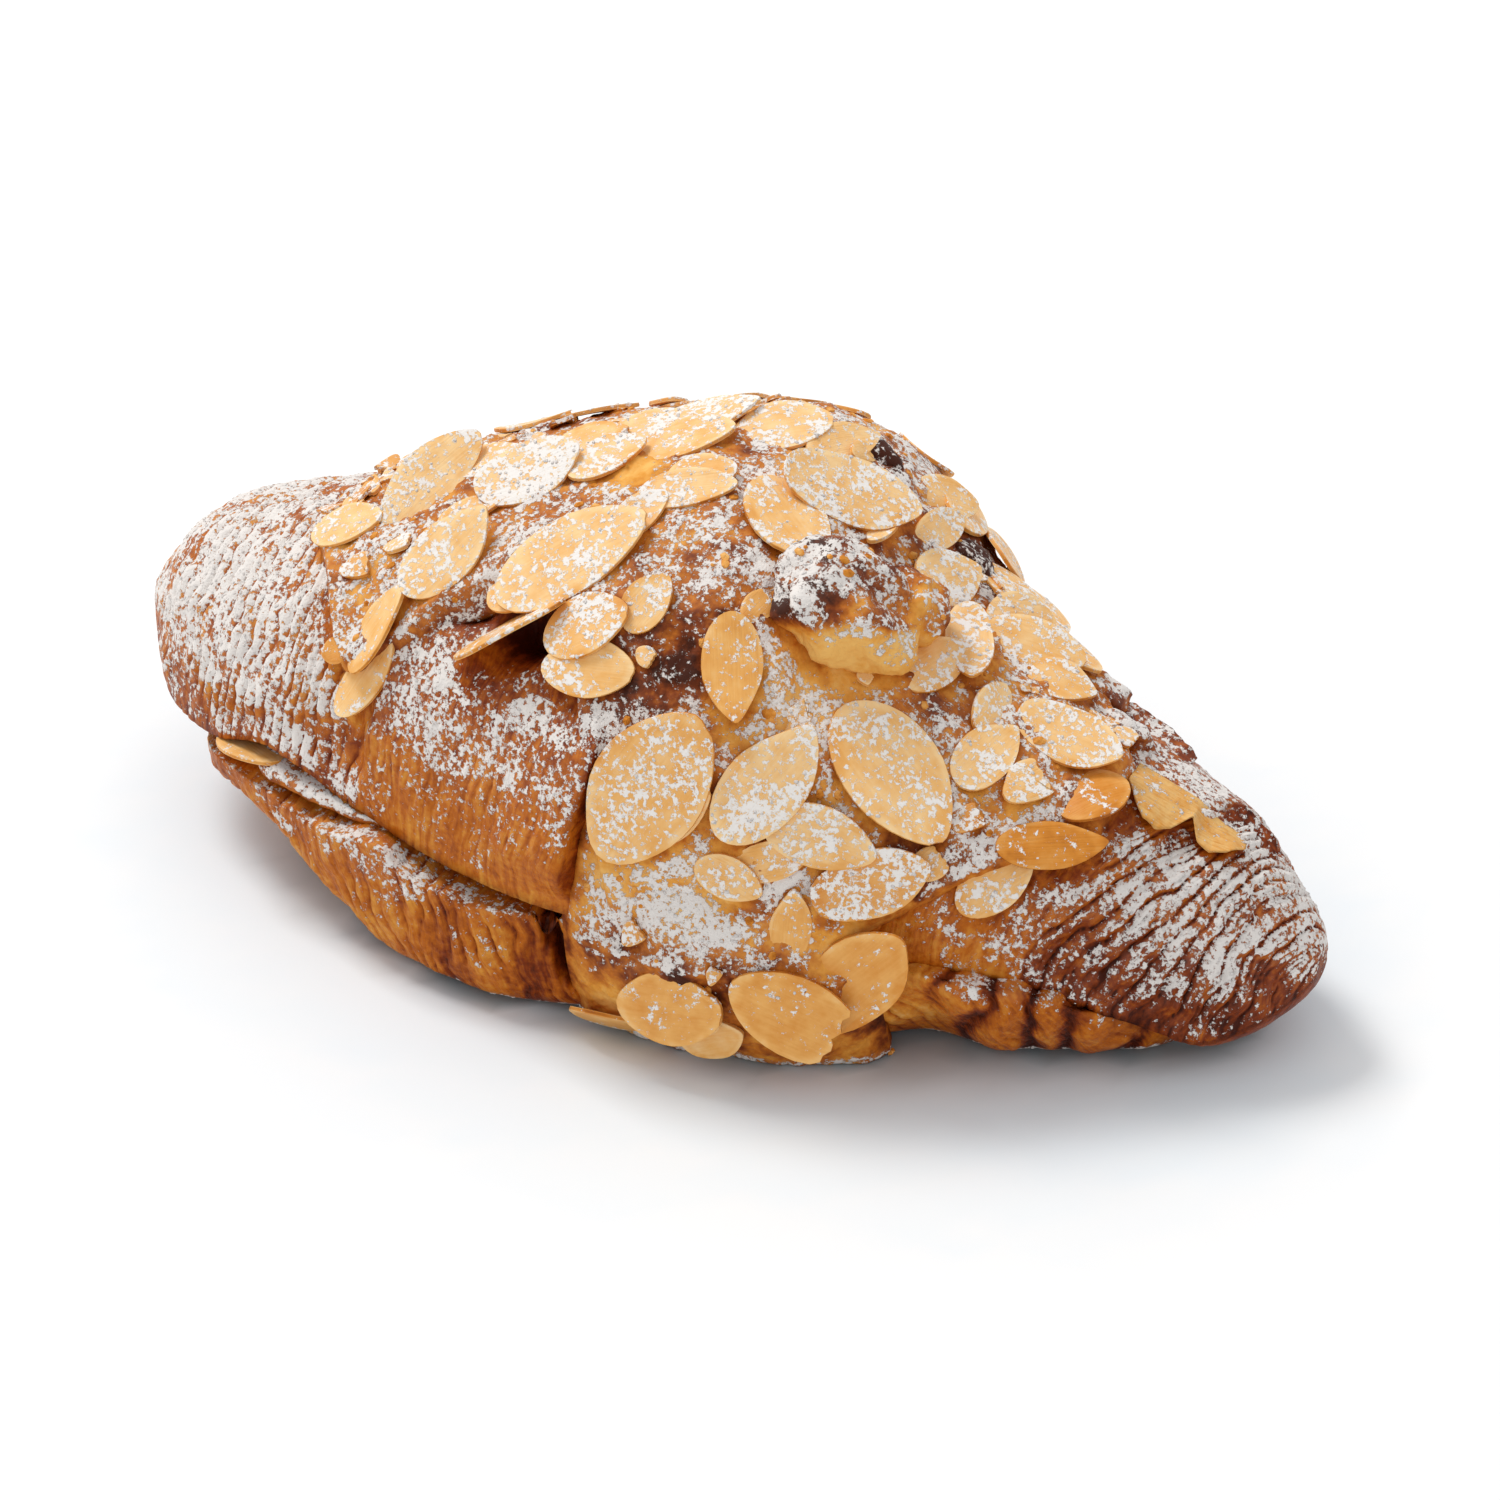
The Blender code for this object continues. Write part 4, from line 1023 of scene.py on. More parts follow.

# %% [markdown]
# The leaves lie where they lay in the picture, so their places are a table listed from the left end to the
# right: along, turn, length, width, heading, tilt, lift, shape, how toasted, how much sugar. The heading
# turns a leaf from +X towards the back, tilt turns it about its long axis, lift raises one end.

# %% Where the almonds lie
LEAF_THICK = 0.52
LEAVES_LAID = (
    (-40, 0.37, 10, 5.5, 15, -10, 4, 0, 0.25, 0.28),
    (-31.5, 0.435, 14.5, 7, 54, -40, 12, 2, 0.20, 0.36),
    (-24, 0.32, 13.5, 7.5, 60, -18, 6, 1, 0.25, 0.43),
    (-30, 0.22, 12, 5, 65, 12, 6, 3, 0.30, 0.21),
    (-31, 0.16, 12.5, 5, 63, 0, 0, 1, 0.35, 0.28),
    (-36, 0.18, 4.5, 3, 30, 0, 5, 6, 0.70, 0.26),
    (-35, 0.30, 5, 3.5, 25, 0, 0, 7, 0.60, 0.52),
    (-13, 0.25, 15, 7, 35, 52, 8, 0, 0.45, 0.31),
    (-20, 0.44, 13, 8, 35, -22, 4, 4, 0.25, 0.60),
    (-17, 0.51, 10, 6, 25, -8, 9, 5, 0.30, 0.33),
    (-9, 0.33, 19, 10, 43, -8, 5, 0, 0.30, 0.38),
    (-15, 0.30, 8, 6.5, 65, 8, 0, 6, 0.35, 0.33),
    (-5, 0.505, 11.5, 7, 20, -12, 8, 3, 0.35, 0.36),
    (-6, 0.555, 14, 8, 15, -12, 9, 1, 0.20, 0.55),
    (3, 0.55, 11.5, 8, 38, -15, 12, 2, 0.25, 0.43),
    (9, 0.575, 10.5, 5, 64, -20, 10, 5, 0.25, 0.24),
    (0, 0.44, 8, 6, 38, -10, 0, 0, 0.40, 0.33),
    (-0.5, 0.42, 11.5, 5, 22, -15, 3, 3, 0.30, 0.38),
    (10.5, 0.43, 13.5, 9, -30, 5, 4, 1, 0.40, 0.36),
    (13, 0.51, 17, 9, 27, -12, 4, 4, 0.32, 0.46),
    (-4, 0.26, 10.5, 7.5, 33, 5, 6, 0, 0.45, 0.45),
    (-2.3, 0.22, 10.5, 6.8, 10, 0, 0, 2, 0.40, 0.33),
    (1.5, 0.29, 7.6, 5.2, 70, -5, 6, 3, 0.35, 0.38),
    (12, 0.26, 12.6, 6.6, -68, 5, 5, 1, 0.55, 0.20),
    (12, 0.33, 5.2, 3.2, 70, 0, 0, 6, 0.60, 0.33),
    (11, 0.585, 5, 3, 75, -20, 0, 7, 0.35, 0.24),
    (17.5, 0.67, 9.5, 6, 64, -10, 16, 0, 0.35, 0.33),
    (17, 0.51, 6.5, 2.6, 84, 40, 0, 3, 0.25, 0.24),
    (20, 0.60, 10, 4.5, 88, -10, 14, 5, 0.30, 0.38),
    (24, 0.55, 10, 7, 70, -10, 6, 1, 0.30, 0.40),
    (28, 0.42, 9.5, 6, 70, 5, 5, 0, 0.35, 0.48),
    (29.5, 0.48, 11, 5.5, -62, -30, 2, 4, 0.30, 0.43),
    (31.5, 0.60, 9, 6.5, 50, -20, 14, 3, 0.30, 0.43),
    (34.5, 0.57, 12, 6.5, 22, -24, 12, 0, 0.35, 0.36),
    (39, 0.54, 8.5, 5.5, 15, -15, 10, 5, 0.40, 0.40),
    (35, 0.42, 7, 4.5, 85, -20, 0, 2, 0.25, 0.38),
    (7.3, 0.13, 19.5, 12.8, 62, 0, 4, 2, 0.45, 0.38),
    (10, 0.11, 11, 5.6, 48, 0, 8, 0, 0.35, 0.43),
    (18.3, 0.175, 16, 8.6, 65, 5, 3, 1, 0.30, 0.45),
    (24.5, 0.145, 13, 7, -8, -5, 5, 3, 0.30, 0.43),
    (29.3, 0.255, 18, 11.4, -34, 3, 4, 0, 0.35, 0.34),
    (20.4, 0.10, 9.4, 4.6, 22, 0, 2, 5, 0.40, 0.43),
    (30.2, 0.11, 13.6, 7.6, 25, 0, 3, 4, 0.60, 0.52),
    (23, 0.035, 9.8, 4.6, 87, 0, 0, 1, 0.50, 0.26),
    (29.6, -0.03, 17, 9.6, 50, 10, 4, 4, 0.60, 0.21),
    (24, -0.28, 17, 9.4, -26, 14, 5, 6, 0.60, 0.17),
    (11, -0.34, 12, 9.5, 5, 14, 3, 2, 0.56, 0.26),
    (13.4, -0.38, 8.5, 6.5, 50, 8, 8, 0, 0.46, 0.26),
    (14.8, -0.60, 8, 6, 20, 12, 0, 1, 0.40, 0.24),
    (2.4, -0.76, 10, 6, 2, -22, 0, 5, 0.50, 0.19),
    (35.4, 0.16, 5, 3.6, 52, 0, 0, 6, 0.40, 0.38),
    (36.8, 0.345, 10.3, 6, 70, 3, 3, 5, 0.30, 0.36),
    (43, 0.44, 12.6, 7.2, 2, -12, 7, 4, 0.35, 0.40),
    (42, 0.34, 7.5, 5.2, 55, 0, 0, 7, 0.35, 0.40),
    (48, 0.365, 8.5, 6.6, 50, 20, 8, 8, 0.76, 0.19),
    (46, 0.25, 12.4, 5.2, 23, 0, 5, 1, 0.80, 0.15),
    (42, 0.155, 9.5, 6.0, 45, 5, 0, 0, 0.40, 0.50),
    (-24.8, 0.385, 8.5, 3.4, 28, -10, 3, 5, 0.35, 0.35),
    (-27.0, 0.47, 9.5, 5.2, 20, -12, 4, 1, 0.30, 0.50),
    (-12.5, 0.47, 10.0, 6.0, 50, -10, 4, 3, 0.30, 0.50),
    (-11.0, 0.535, 11.0, 6.2, 32, -16, 5, 0, 0.25, 0.52),
    (-4.0, 0.385, 8.0, 4.6, 62, -12, 4, 3, 0.35, 0.46),
    (20.0, 0.26, 7.5, 4.4, 40, 0, 4, 9, 0.40, 0.45),
    (16.5, 0.07, 8.0, 5.0, -20, 4, 4, 3, 0.40, 0.48),
)
CUT_LEAF = (-49.3, -30.4, 18.4, 11.5, 7.0, -26.0, 4.0, 9.0)  # along, across, height, then as above
print(len(LEAVES_LAID), "leaves laid by eye")

# %% [markdown]
# On the side that the picture doesn't show, leaves are strewn along the cream's back border, and chips
# of almond wherever no leaf lies. Dice with a fixed seed throw them the same way each time. A leaf lies
# on the cream, or on the pastry where there is none, and one that tilts is raised so that its lower
# edge just sinks in.

# %% Leaves strewn by chance, and every leaf's pose
BACK_LEAVES, BACK_SEED = 17, 8
BACK_FROM, BACK_REACH, BACK_STRAY = -34, 70, 1.5
FROM_BACK_BORDER, BACK_LENGTHS, BACK_LOWEST = (-0.02, 0.15), (8.0, 13.0), 0.63
FRAGMENTS, FRAGMENT_SEED = 170, 21
CHIPS_FROM, CHIPS_TO, CHIP_LENGTHS = -44, 49, (1.6, 4.8)
CLEAR_OF_LEAF = 0.45  # of that leaf's length


def leaf_pose(along, turn, width, heading, tilt, lift):
    """A leaf's pose on the cream or the pastry."""
    place = np.float64(along), np.float64(turn)
    up = Vector(outward(*place))
    cream = max(float(spread_depth(*place)), float(drip_depth(*place)), 0.3)
    raised = cream + (0.42 if width > 5 else 0.2) + 0.25 * width * math.sin(math.radians(abs(tilt)))
    return turned(Vector(shape(*place)) + up * raised, up, heading, tilt, lift)


def back_rows():
    """Leaves strewn on the side away from the cut."""
    dice = random.Random(BACK_SEED)
    for i in range(BACK_LEAVES):
        along = BACK_FROM + BACK_REACH * i / (BACK_LEAVES - 1) + dice.uniform(-BACK_STRAY, BACK_STRAY)
        turn = max(BACK_LOWEST, float(through(SPREAD, 2, along)) - dice.uniform(*FROM_BACK_BORDER))
        length = dice.uniform(*BACK_LENGTHS)
        posed = (dice.uniform(-70, 70), dice.uniform(-4, 10), dice.uniform(0, 4))
        toast, dust = dice.uniform(0.3, 0.45), dice.uniform(0.3, 0.5)
        yield (along, turn, length, 0.6 * length, *posed, i % 6, toast, dust)


def fragment_rows():
    """Chips of almond, none of them where a leaf lies."""
    dice = random.Random(FRAGMENT_SEED)
    for _ in range(FRAGMENTS):
        along = dice.uniform(CHIPS_FROM, CHIPS_TO)
        first, last = (float(through(SPREAD, column, along)) for column in (1, 2))
        turn = dice.uniform(first + 0.03, last - 0.03)
        apart = min(
            math.hypot(along - at, (turn - there) * HALF_GIRTH) / long for at, there, long, *_ in LEAVES_LAID
        )
        if apart < CLEAR_OF_LEAF:
            continue
        length = dice.uniform(*CHIP_LENGTHS)
        placed = (along, turn, length, length * dice.uniform(0.5, 0.8))
        posed = (dice.uniform(-90, 90), dice.uniform(-25, 25), dice.uniform(0, 12))
        yield (*placed, *posed, 6 + dice.choice((0, 1, 3)), dice.uniform(0.25, 0.75), 0.45)


leaf_rows = []
for along, turn, length, width, *posed, kind, toast, dust in (*LEAVES_LAID, *back_rows(), *fragment_rows()):
    leaf_rows.append((leaf_pose(along, turn, width, *posed), length, width, kind, toast, dust))
x, y, z, length, width, heading, tilt, lift = CUT_LEAF
cut_pose = turned(Vector((x, y, z)), Vector((0, 0, 1)), heading, tilt, lift)
leaf_rows.append((cut_pose, length, width, 0, 0.40, 0.30))
print(len(leaf_rows), "pieces of almond")

# %% [markdown]
# A mesh of bare points holds the leaves' places, and each point carries its leaf's number, turn, size,
# toasting and sugar. An object for each leaf would do too, but then eighty objects have to be joined.

# %% A point for each almond
bpy.context.scene.collection.children.link(leaf_shapes)
leaf_shapes.hide_render = True

leaf_points = bpy.data.meshes.new("flaked_almonds")
leaf_points.from_pydata([(Vector(pose.translation) + Vector(MIDDLE)) * MM for pose, *_ in leaf_rows], [], [])
point_numbers = {
    "leaf_kind": ("INT", "value", [kind for _, _, _, kind, _, _ in leaf_rows]),
    "toasted": ("FLOAT", "value", [toast for *_, toast, _ in leaf_rows]),
    "sugared": ("FLOAT", "value", [dust for *_, dust in leaf_rows]),
    "turning": ("FLOAT_VECTOR", "vector", [list(pose.to_euler()) for pose, *_ in leaf_rows]),
    "stretch": (
        "FLOAT_VECTOR",
        "vector",
        [(length * MM, width * MM, LEAF_THICK * MM) for _, length, width, *_ in leaf_rows],
    ),
}
for name, (kind, field, numbers) in point_numbers.items():
    layer = leaf_points.attributes.new(name, kind, "POINT")
    layer.data.foreach_set(field, np.array(numbers, np.int32 if kind == "INT" else np.float32).reshape(-1))
flaked_almonds = bpy.data.objects.new("flaked_almonds", leaf_points)
bpy.context.scene.collection.objects.link(flaked_almonds)
print(len(leaf_points.vertices), "points with", sorted(point_numbers))

# %% [markdown]
# A tree needs an entry with named inputs, an exit, and a modifier that runs it. A few short helpers
# hold that, so each tree below shows only its own idea. What a tree returns is copied into a plain
# mesh, so that the next steps see vertices and nothing else.

# %% Helpers for Geometry Nodes


def new_tree(name, sizes):
    """A Geometry Nodes tree with named inputs, its group input, and the inputs' identifiers."""
    tree = bpy.data.node_groups.new(name, "GeometryNodeTree")
    tree.interface.new_socket("Geometry", in_out="INPUT", socket_type="NodeSocketGeometry")
    known = {}
    for label, kind in sizes.items():
        known[label] = tree.interface.new_socket(label, in_out="INPUT", socket_type=kind).identifier
    tree.interface.new_socket("Geometry", in_out="OUTPUT", socket_type="NodeSocketGeometry")
    graph = Graph(tree)
    entry = tree.nodes.new("NodeGroupInput")
    given = {label: Socket(graph, entry.outputs[label]) for label in ("Geometry", *sizes)}
    return graph, given, known


def named(graph, name, kind):
    """A number that the mesh carries by name."""
    return graph.node("GeometryNodeInputNamedAttribute", {"data_type": kind}, {"Name": name})


def run_tree(piece, graph, result, known, values):
    """Gives the tree its result, runs it on the piece with these inputs, and keeps the plain mesh."""
    leaving = graph.tree.nodes.new("NodeGroupOutput")
    graph.feed(leaving.inputs[0], result)
    modifier = piece.modifiers.new(graph.tree.name, "NODES")
    modifier.node_group = graph.tree
    for label, value in values.items():
        modifier[known[label]] = value
    depsgraph = bpy.context.evaluated_depsgraph_get()
    evaluated = piece.evaluated_get(depsgraph)
    mesh = bpy.data.meshes.new_from_object(evaluated, preserve_all_data_layers=True, depsgraph=depsgraph)
    piece.modifiers.clear()
    piece.data = mesh
    print(piece.name, len(mesh.vertices), "points,", len(mesh.polygons), "faces")


def real_mesh(graph, instances, material):
    """Instances made real, with their finish: the end of a tree."""
    joined = graph.node("GeometryNodeRealizeInstances", inputs={"Geometry": instances})
    return graph.node("GeometryNodeSetMaterial", inputs={"Geometry": joined, "Material": material})


print("helpers ready")

# %% [markdown]
# The tree picks each point's leaf shape by number, turns and stretches it, makes it real and gives it
# its finish. The leaf shapes themselves are then no longer needed.

# %% The almonds set on their points
almond = bpy.data.materials.new("toasted_almond")
graph, given, known = new_tree(
    "lay_leaves", {"Leaf Shapes": "NodeSocketCollection", "Finish": "NodeSocketMaterial"}
)
leaves = graph.node(
    "GeometryNodeCollectionInfo",
    {"transform_space": "ORIGINAL"},
    {"Collection": given["Leaf Shapes"], "Separate Children": True, "Reset Children": True},
)
facing = graph.node("FunctionNodeEulerToRotation", inputs={"Euler": named(graph, "turning", "FLOAT_VECTOR")})
laid = graph.node(
    "GeometryNodeInstanceOnPoints",
    inputs={
        "Points": given["Geometry"],
        "Instance": leaves,
        "Pick Instance": True,
        "Instance Index": named(graph, "leaf_kind", "INT"),
        "Rotation": facing,
        "Scale": named(graph, "stretch", "FLOAT_VECTOR"),
    },
)
finished = real_mesh(graph, laid, given["Finish"])
run_tree(flaked_almonds, graph, finished, known, {"Leaf Shapes": leaf_shapes, "Finish": almond})
for leaf in list(leaf_shapes.objects):
    bpy.data.objects.remove(leaf)
bpy.data.collections.remove(leaf_shapes)

# %% [markdown]
# ## Torn pastry
# Where the second baking lifted the outermost layer, thin pastry stands off the roll: a pale peeled flap
# with a jagged lower edge over the slim end, and four scorched edges along the back of the crown. Each is
# a patch of the roll's own surface, raised towards its free edge and given a thickness of paper. Cloth
# could curl like this too, but it would not keep to the folds below it.

# %% Torn pastry
FLAP_THICK = 0.30
PEELED_EDGE = (0.45, 0.41, 0.375, 0.37, 0.385, 0.44, 0.39, 0.375, 0.40, 0.45)
# For each: along from and to, turn of its root, lift at the free edge, how jagged, how browned, how
# sugared, and the turn of its free edge from one end to the other
FLAPS = (
    (50.5, 64.0, 0.52, 1.5, 0.008, 0.10, 0.22, PEELED_EDGE),
    (60.5, 66.5, 0.54, 1.5, 0.020, 0.85, 0.30, (0.58, 0.60, 0.60, 0.58)),
    (44.0, 54.0, 0.64, 1.4, 0.020, 0.75, 0.55, (0.67, 0.70, 0.69, 0.67)),
    (-24.0, -12.0, 0.72, 1.6, 0.020, 0.70, 0.30, (0.75, 0.80, 0.79, 0.75)),
    (-58.0, -44.0, 0.78, 1.4, 0.020, 0.65, 0.30, (0.81, 0.87, 0.86, 0.81)),
)
FLAP_ROWS, FLAP_COLUMNS = 90, 22


def flap(first, last, root, lift, jagged, browned, sugared, edge):
    """Points, faces and numbers of one thin raised layer."""
    over = np.linspace(first, last, FLAP_ROWS)[:, None]
    share = np.linspace(0, 1, FLAP_COLUMNS)[None, :]
    ends = ease((over - first) / 1.5) * ease((last - over) / 1.5)
    tears = jagged * rough(np.stack([over[:, 0], 0 * over[:, 0], 0 * over[:, 0] + root], -1), 1.3)[:, None]
    free = np.interp(over, np.linspace(first, last, len(edge)), edge) + tears * ends
    over, turns = np.broadcast_arrays(over, root + (free - root) * share)
    base, out = shape(over, turns), outward(over, turns)
    rise = lift * share**1.6 * (0.6 + 0.4 * ends) + 0.35 * rough(base, 2.5) * share + folds(over, turns)
    tops = base + out * (rise + 0.5 * FLAP_THICK)[..., None]
    bottoms = base + out * (rise - 0.5 * FLAP_THICK - 0.9 * (1 - share) ** 2)[..., None]
    rings = np.concatenate([tops, bottoms[:, ::-1]], 1)
    both = 2 * FLAP_COLUMNS
    i = np.arange(1, both // 2)
    near, far = np.stack([i - 1, i, both - 1 - i], -1), np.stack([i - 1, both - 1 - i, both - i], -1)
    cap = np.concatenate([near, far])
    last_cap = cap + (FLAP_ROWS - 1) * both
    faces = np.concatenate([grid_faces(FLAP_ROWS, both, True), cap[:, ::-1], last_cap])
    points = rings.reshape(-1, 3)
    numbers = {
        "browned": browned + 0.12 * rough(points, 2.0),
        "sugared": np.full(len(points), sugared),
        "across_layers": np.concatenate([turns, turns[:, ::-1]], 1).reshape(-1) * HALF_GIRTH,
        "along_layers": np.concatenate([over, over], 1).reshape(-1),
    }
    return points, faces, numbers


torn_pastry = made_object("torn_pastry", *merged(flap(*row) for row in FLAPS))

# %% [markdown]
# ## Where sugar can fall
# Icing sugar is sieved from above, so it lies on what faces up and misses what an almond covers. Geometry
# Nodes send a few rays up from every vertex of every piece, and keep the share that meets nothing. That
# number times how level the surface is there gives the dusting, and every finish below reads it. The rays
# lean to the front, where the baker stood, and in the open cut they lean further. Some sugar from the tray
# also clings to the foot. The floor's rays lean out all round, and tell how much of the room it sees.

# %% Sugar from above
DUSTED = [upper_pastry, lower_pastry, cream_filling, cream_topping, flaked_almonds, torn_pastry]
SKY_RAYS = ((0.0, -0.15), (0.35, 0.0), (-0.3, 0.1), (-0.05, -0.8))
FRONT_RAYS = ((0.0, -0.3), (0.3, -0.8), (-0.3, -0.9), (0.0, -1.6))  # into the cut, open at the front
WIDE_LEAN = 1.2
WIDE_WAYS = np.linspace(0, 2 * math.pi, 16, False)
WIDE_RAYS = [(WIDE_LEAN * math.cos(way), WIDE_LEAN * math.sin(way)) for way in WIDE_WAYS]
RAY_START, RAY_LENGTH, WIDE_RAY_LENGTH = 0.0004, 0.03, 0.2


def everything(graph, pieces):
    """The meshes of several pieces as one."""
    shown = []
    for piece in pieces:
        shown.append(graph.node("GeometryNodeObjectInfo", inputs={"Object": piece}, output="Geometry"))
    return graph.node("GeometryNodeJoinGeometry", inputs={"Geometry": shown})


def open_share(graph, cover, start, length, rays):
    """The share of rays from each place that meet nothing above it."""
    place = graph.node("GeometryNodeInputPosition")
    normal = graph.node("GeometryNodeInputNormal")
    step = graph.node("ShaderNodeVectorMath", {"operation": "SCALE"}, {0: normal, "Scale": start})
    source = graph.node("ShaderNodeVectorMath", {"operation": "ADD"}, {0: place, 1: step})
    free = 0
    for x, y in rays:
        blocked = graph.node(
            "GeometryNodeRaycast",
            inputs={
                "Target Geometry": cover,
                "Source Position": source,
                "Ray Direction": (x, y, 1.0),
                "Ray Length": length,
            },
            output="Is Hit",
        )
        free = free + (1 - blocked) / len(rays)
    return free


def sky_over(piece, rays, length):
    """For each vertex of a piece, the share of the rays that no piece stops."""
    graph, given, known = new_tree(
        "open_to_the_sky", {"Ray Start": "NodeSocketFloat", "Ray Length": "NodeSocketFloat"}
    )
    free = open_share(graph, everything(graph, DUSTED), given["Ray Start"], given["Ray Length"], rays)
    kept = graph.node(
        "GeometryNodeStoreNamedAttribute",
        {"data_type": "FLOAT", "domain": "POINT"},
        {"Geometry": given["Geometry"], "Name": "open", "Value": free},
    )
    copy = piece.copy()
    copy.data = piece.data.copy()
    bpy.context.scene.collection.objects.link(copy)
    run_tree(copy, graph, kept, known, {"Ray Start": RAY_START, "Ray Length": length})
    free_sky = np.empty(len(piece.data.vertices), np.float32)
    copy.data.attributes["open"].data.foreach_get("value", free_sky)
    bpy.data.objects.remove(copy)
    return free_sky


print(len(SKY_RAYS), "rays up,", len(WIDE_RAYS), "from the floor")

# %% [markdown]
# The free share of the sky, how level the surface is and the number that each piece asked for are
# multiplied. That happens in Python, because all three are arrays by now. Baking soft shade to an image
# would take minutes for the same answer.

# %% The dusting of every vertex
ON_ALMONDS = 1.1  # sugar shows more on their smooth faces
FOOT_SUGAR, FOOT_HEIGHT = 0.55, 0.0010
FACING_DOWN = -0.8
MOST_SUGAR = 0.76


def numbers_of(values, field, count):
    """One field of many elements, as an array."""
    numbers = np.empty(count, np.float32)
    values.foreach_get(field, numbers)
    return numbers


for piece in DUSTED:
    rays = FRONT_RAYS if piece in (lower_pastry, cream_filling) else SKY_RAYS
    free_sky = sky_over(piece, rays, RAY_LENGTH)
    mesh = piece.data
    count = len(mesh.vertices)
    wanted = numbers_of(mesh.attributes["sugared"].data, "value", count)
    level = numbers_of(mesh.vertex_normals, "vector", 3 * count)[2::3]
    height = numbers_of(mesh.vertices, "co", 3 * count)[2::3]
    facing_up = ease((level + 0.35) / 0.62)
    wanted = np.maximum(wanted, 0) * (ON_ALMONDS if piece == flaked_almonds else 1)
    fallen = np.clip(wanted * free_sky * facing_up, 0, MOST_SUGAR)
    fallen = np.maximum(fallen, FOOT_SUGAR * ease(2 - height / FOOT_HEIGHT) * (level > FACING_DOWN))
    mesh.attributes["sugared"].data.foreach_set("value", fallen.astype(np.float32))
    print(piece.name, "mean dusting", round(float(fallen.mean()), 3))
# How much of the room the croissant hides from each floor point; the floor's finish paints its shadow by it.
covered = 1 - sky_over(floor, WIDE_RAYS, WIDE_RAY_LENGTH)
floor.data.attributes["covered"].data.foreach_set("value", covered)
print("the floor is covered by up to", round(float(covered.max()), 2))

# %% [markdown]
# ## Finishes
# All the food shares one idea: a base colour that runs from pale dough to scorched brown by how browned a
# place is, with painted shade added to that number in grooves, hollows, a crease, a tear and the cream's
# valleys, broken up by noise at the scale of crumbs, with icing sugar over it where the dusting number is
# higher than a grainy noise. The sugar turns the surface white, rough and slightly raised. An image could
# hold all this, but noise on Object coordinates has no seams and stays sharp from close by.

# %% Helpers for finishes


def shade(red, green, blue):
    """A colour picked on screen, 0 to 255, as the linear values that shaders take."""
    channels = [value / 255 for value in (red, green, blue)]
    return (*[c / 12.92 if c <= 0.04045 else ((c + 0.055) / 1.055) ** 2.4 for c in channels], 1.0)


def carried_by(graph, name, field="Fac"):
    """A number, or with another field a vector, that the mesh carries by name."""
    return graph.node("ShaderNodeAttribute", {"attribute_name": name}, output=field)


def coarse(graph, place, span, detail=2.0, rough_share=0.55):
    """Noise from 0 to 1 that changes over about this many metres."""
    values = {"Vector": place, "Scale": 1 / span, "Detail": detail, "Roughness": rough_share}
    return graph.node("ShaderNodeTexNoise", inputs=values)


def drawn_out(graph, place):
    """Noise along a fibre or a layer, over a place that is already stretched."""
    return coarse(graph, place, 1.0, 3.0, 0.5)


def smooth_step(graph, value, low, high):
    """0 below one number and 1 above the other, with a soft change between."""
    values = {"Value": value, "From Min": low, "From Max": high}
    return graph.node("ShaderNodeMapRange", {"interpolation_type": "SMOOTHSTEP"}, values)


def mixed(graph, factor, first, second):
    """Two colours mixed by a factor."""
    return graph.node("ShaderNodeMix", {"data_type": "RGBA"}, {0: factor, 6: first, 7: second}, output=2)


def toned(graph, tones, tone):
    """The colour at a place in a row of tones."""
    return graph.node("ShaderNodeValToRGB", {"stops": tones}, {"Fac": tone})


print("mid grey on screen is", round(shade(128, 128, 128)[0], 3), "in light")

# %% [markdown]
# Grains under a millimetre wide, thicker in some patches than in others, break the dusting number into
# speckles: where it is one half, about half of the surface is white. The loose sugar further down reads
# the same sum, so stones lie where the finish is white.

# %% Sugar in a finish, and what every finish shares
# The sugar on the almonds is the same sugar painted brighter: painted light.
SUGAR_WHITE, SUGAR_PAINTED_BRIGHTER_ON_ALMONDS = shade(230, 224, 219), shade(240, 235, 230)
RELIEF, RELIEF_DEPTH = 0.8, 0.00035


def sugar_excess(graph, place, fallen):
    """Above 0 where sugar covers the surface. The dusting number is close to the share that it covers."""
    grains = coarse(graph, place, 0.0007, 3.0, 0.7)
    clumps = coarse(graph, place, 0.0036)
    level = (grains - 0.5) * 6.2 + (clumps - 0.5) * 3.2
    bare = 1 - smooth_step(graph, fallen, 0.0, 0.12)
    return level - (0.5 - fallen) * 2.4 - bare * 2.0


def dusting(graph, place):
    """The part of the surface that sugar covers, from 0 to 1: grains over a thin film."""
    fallen = carried_by(graph, "sugared")
    grains = smooth_step(graph, sugar_excess(graph, place, fallen), -0.22, 0.38)
    return grains + (1 - grains) * smooth_step(graph, fallen, 0.05, 0.9) * 0.05


def finish(material, build):
    """Fills a material: build gives colour, roughness and relief from the graph and the place."""
    material.use_nodes = True
    tree = material.node_tree
    tree.nodes.clear()
    graph = Graph(tree)
    place = graph.node("ShaderNodeTexCoord", output="Object")
    colour, gloss, height, constants = build(graph, place)
    raised = {"Height": height, "Strength": RELIEF, "Distance": RELIEF_DEPTH}
    bump = graph.node("ShaderNodeBump", inputs=raised)
    values = {"Base Color": colour, "Roughness": gloss, "Normal": bump, **constants}
    surface = graph.node("ShaderNodeBsdfPrincipled", inputs=values)
    graph.node("ShaderNodeOutputMaterial", inputs={"Surface": surface})
    print("finish", material.name, len(tree.nodes), "nodes")
    return material


print("sugar white", [round(v, 3) for v in SUGAR_WHITE[:3]])

# %% [markdown]
# Each food has a short row of tones, from pale to scorched. They were picked against the picture, a little
# yellower than a first guess, because a crust easily turns too red under a warm lamp.

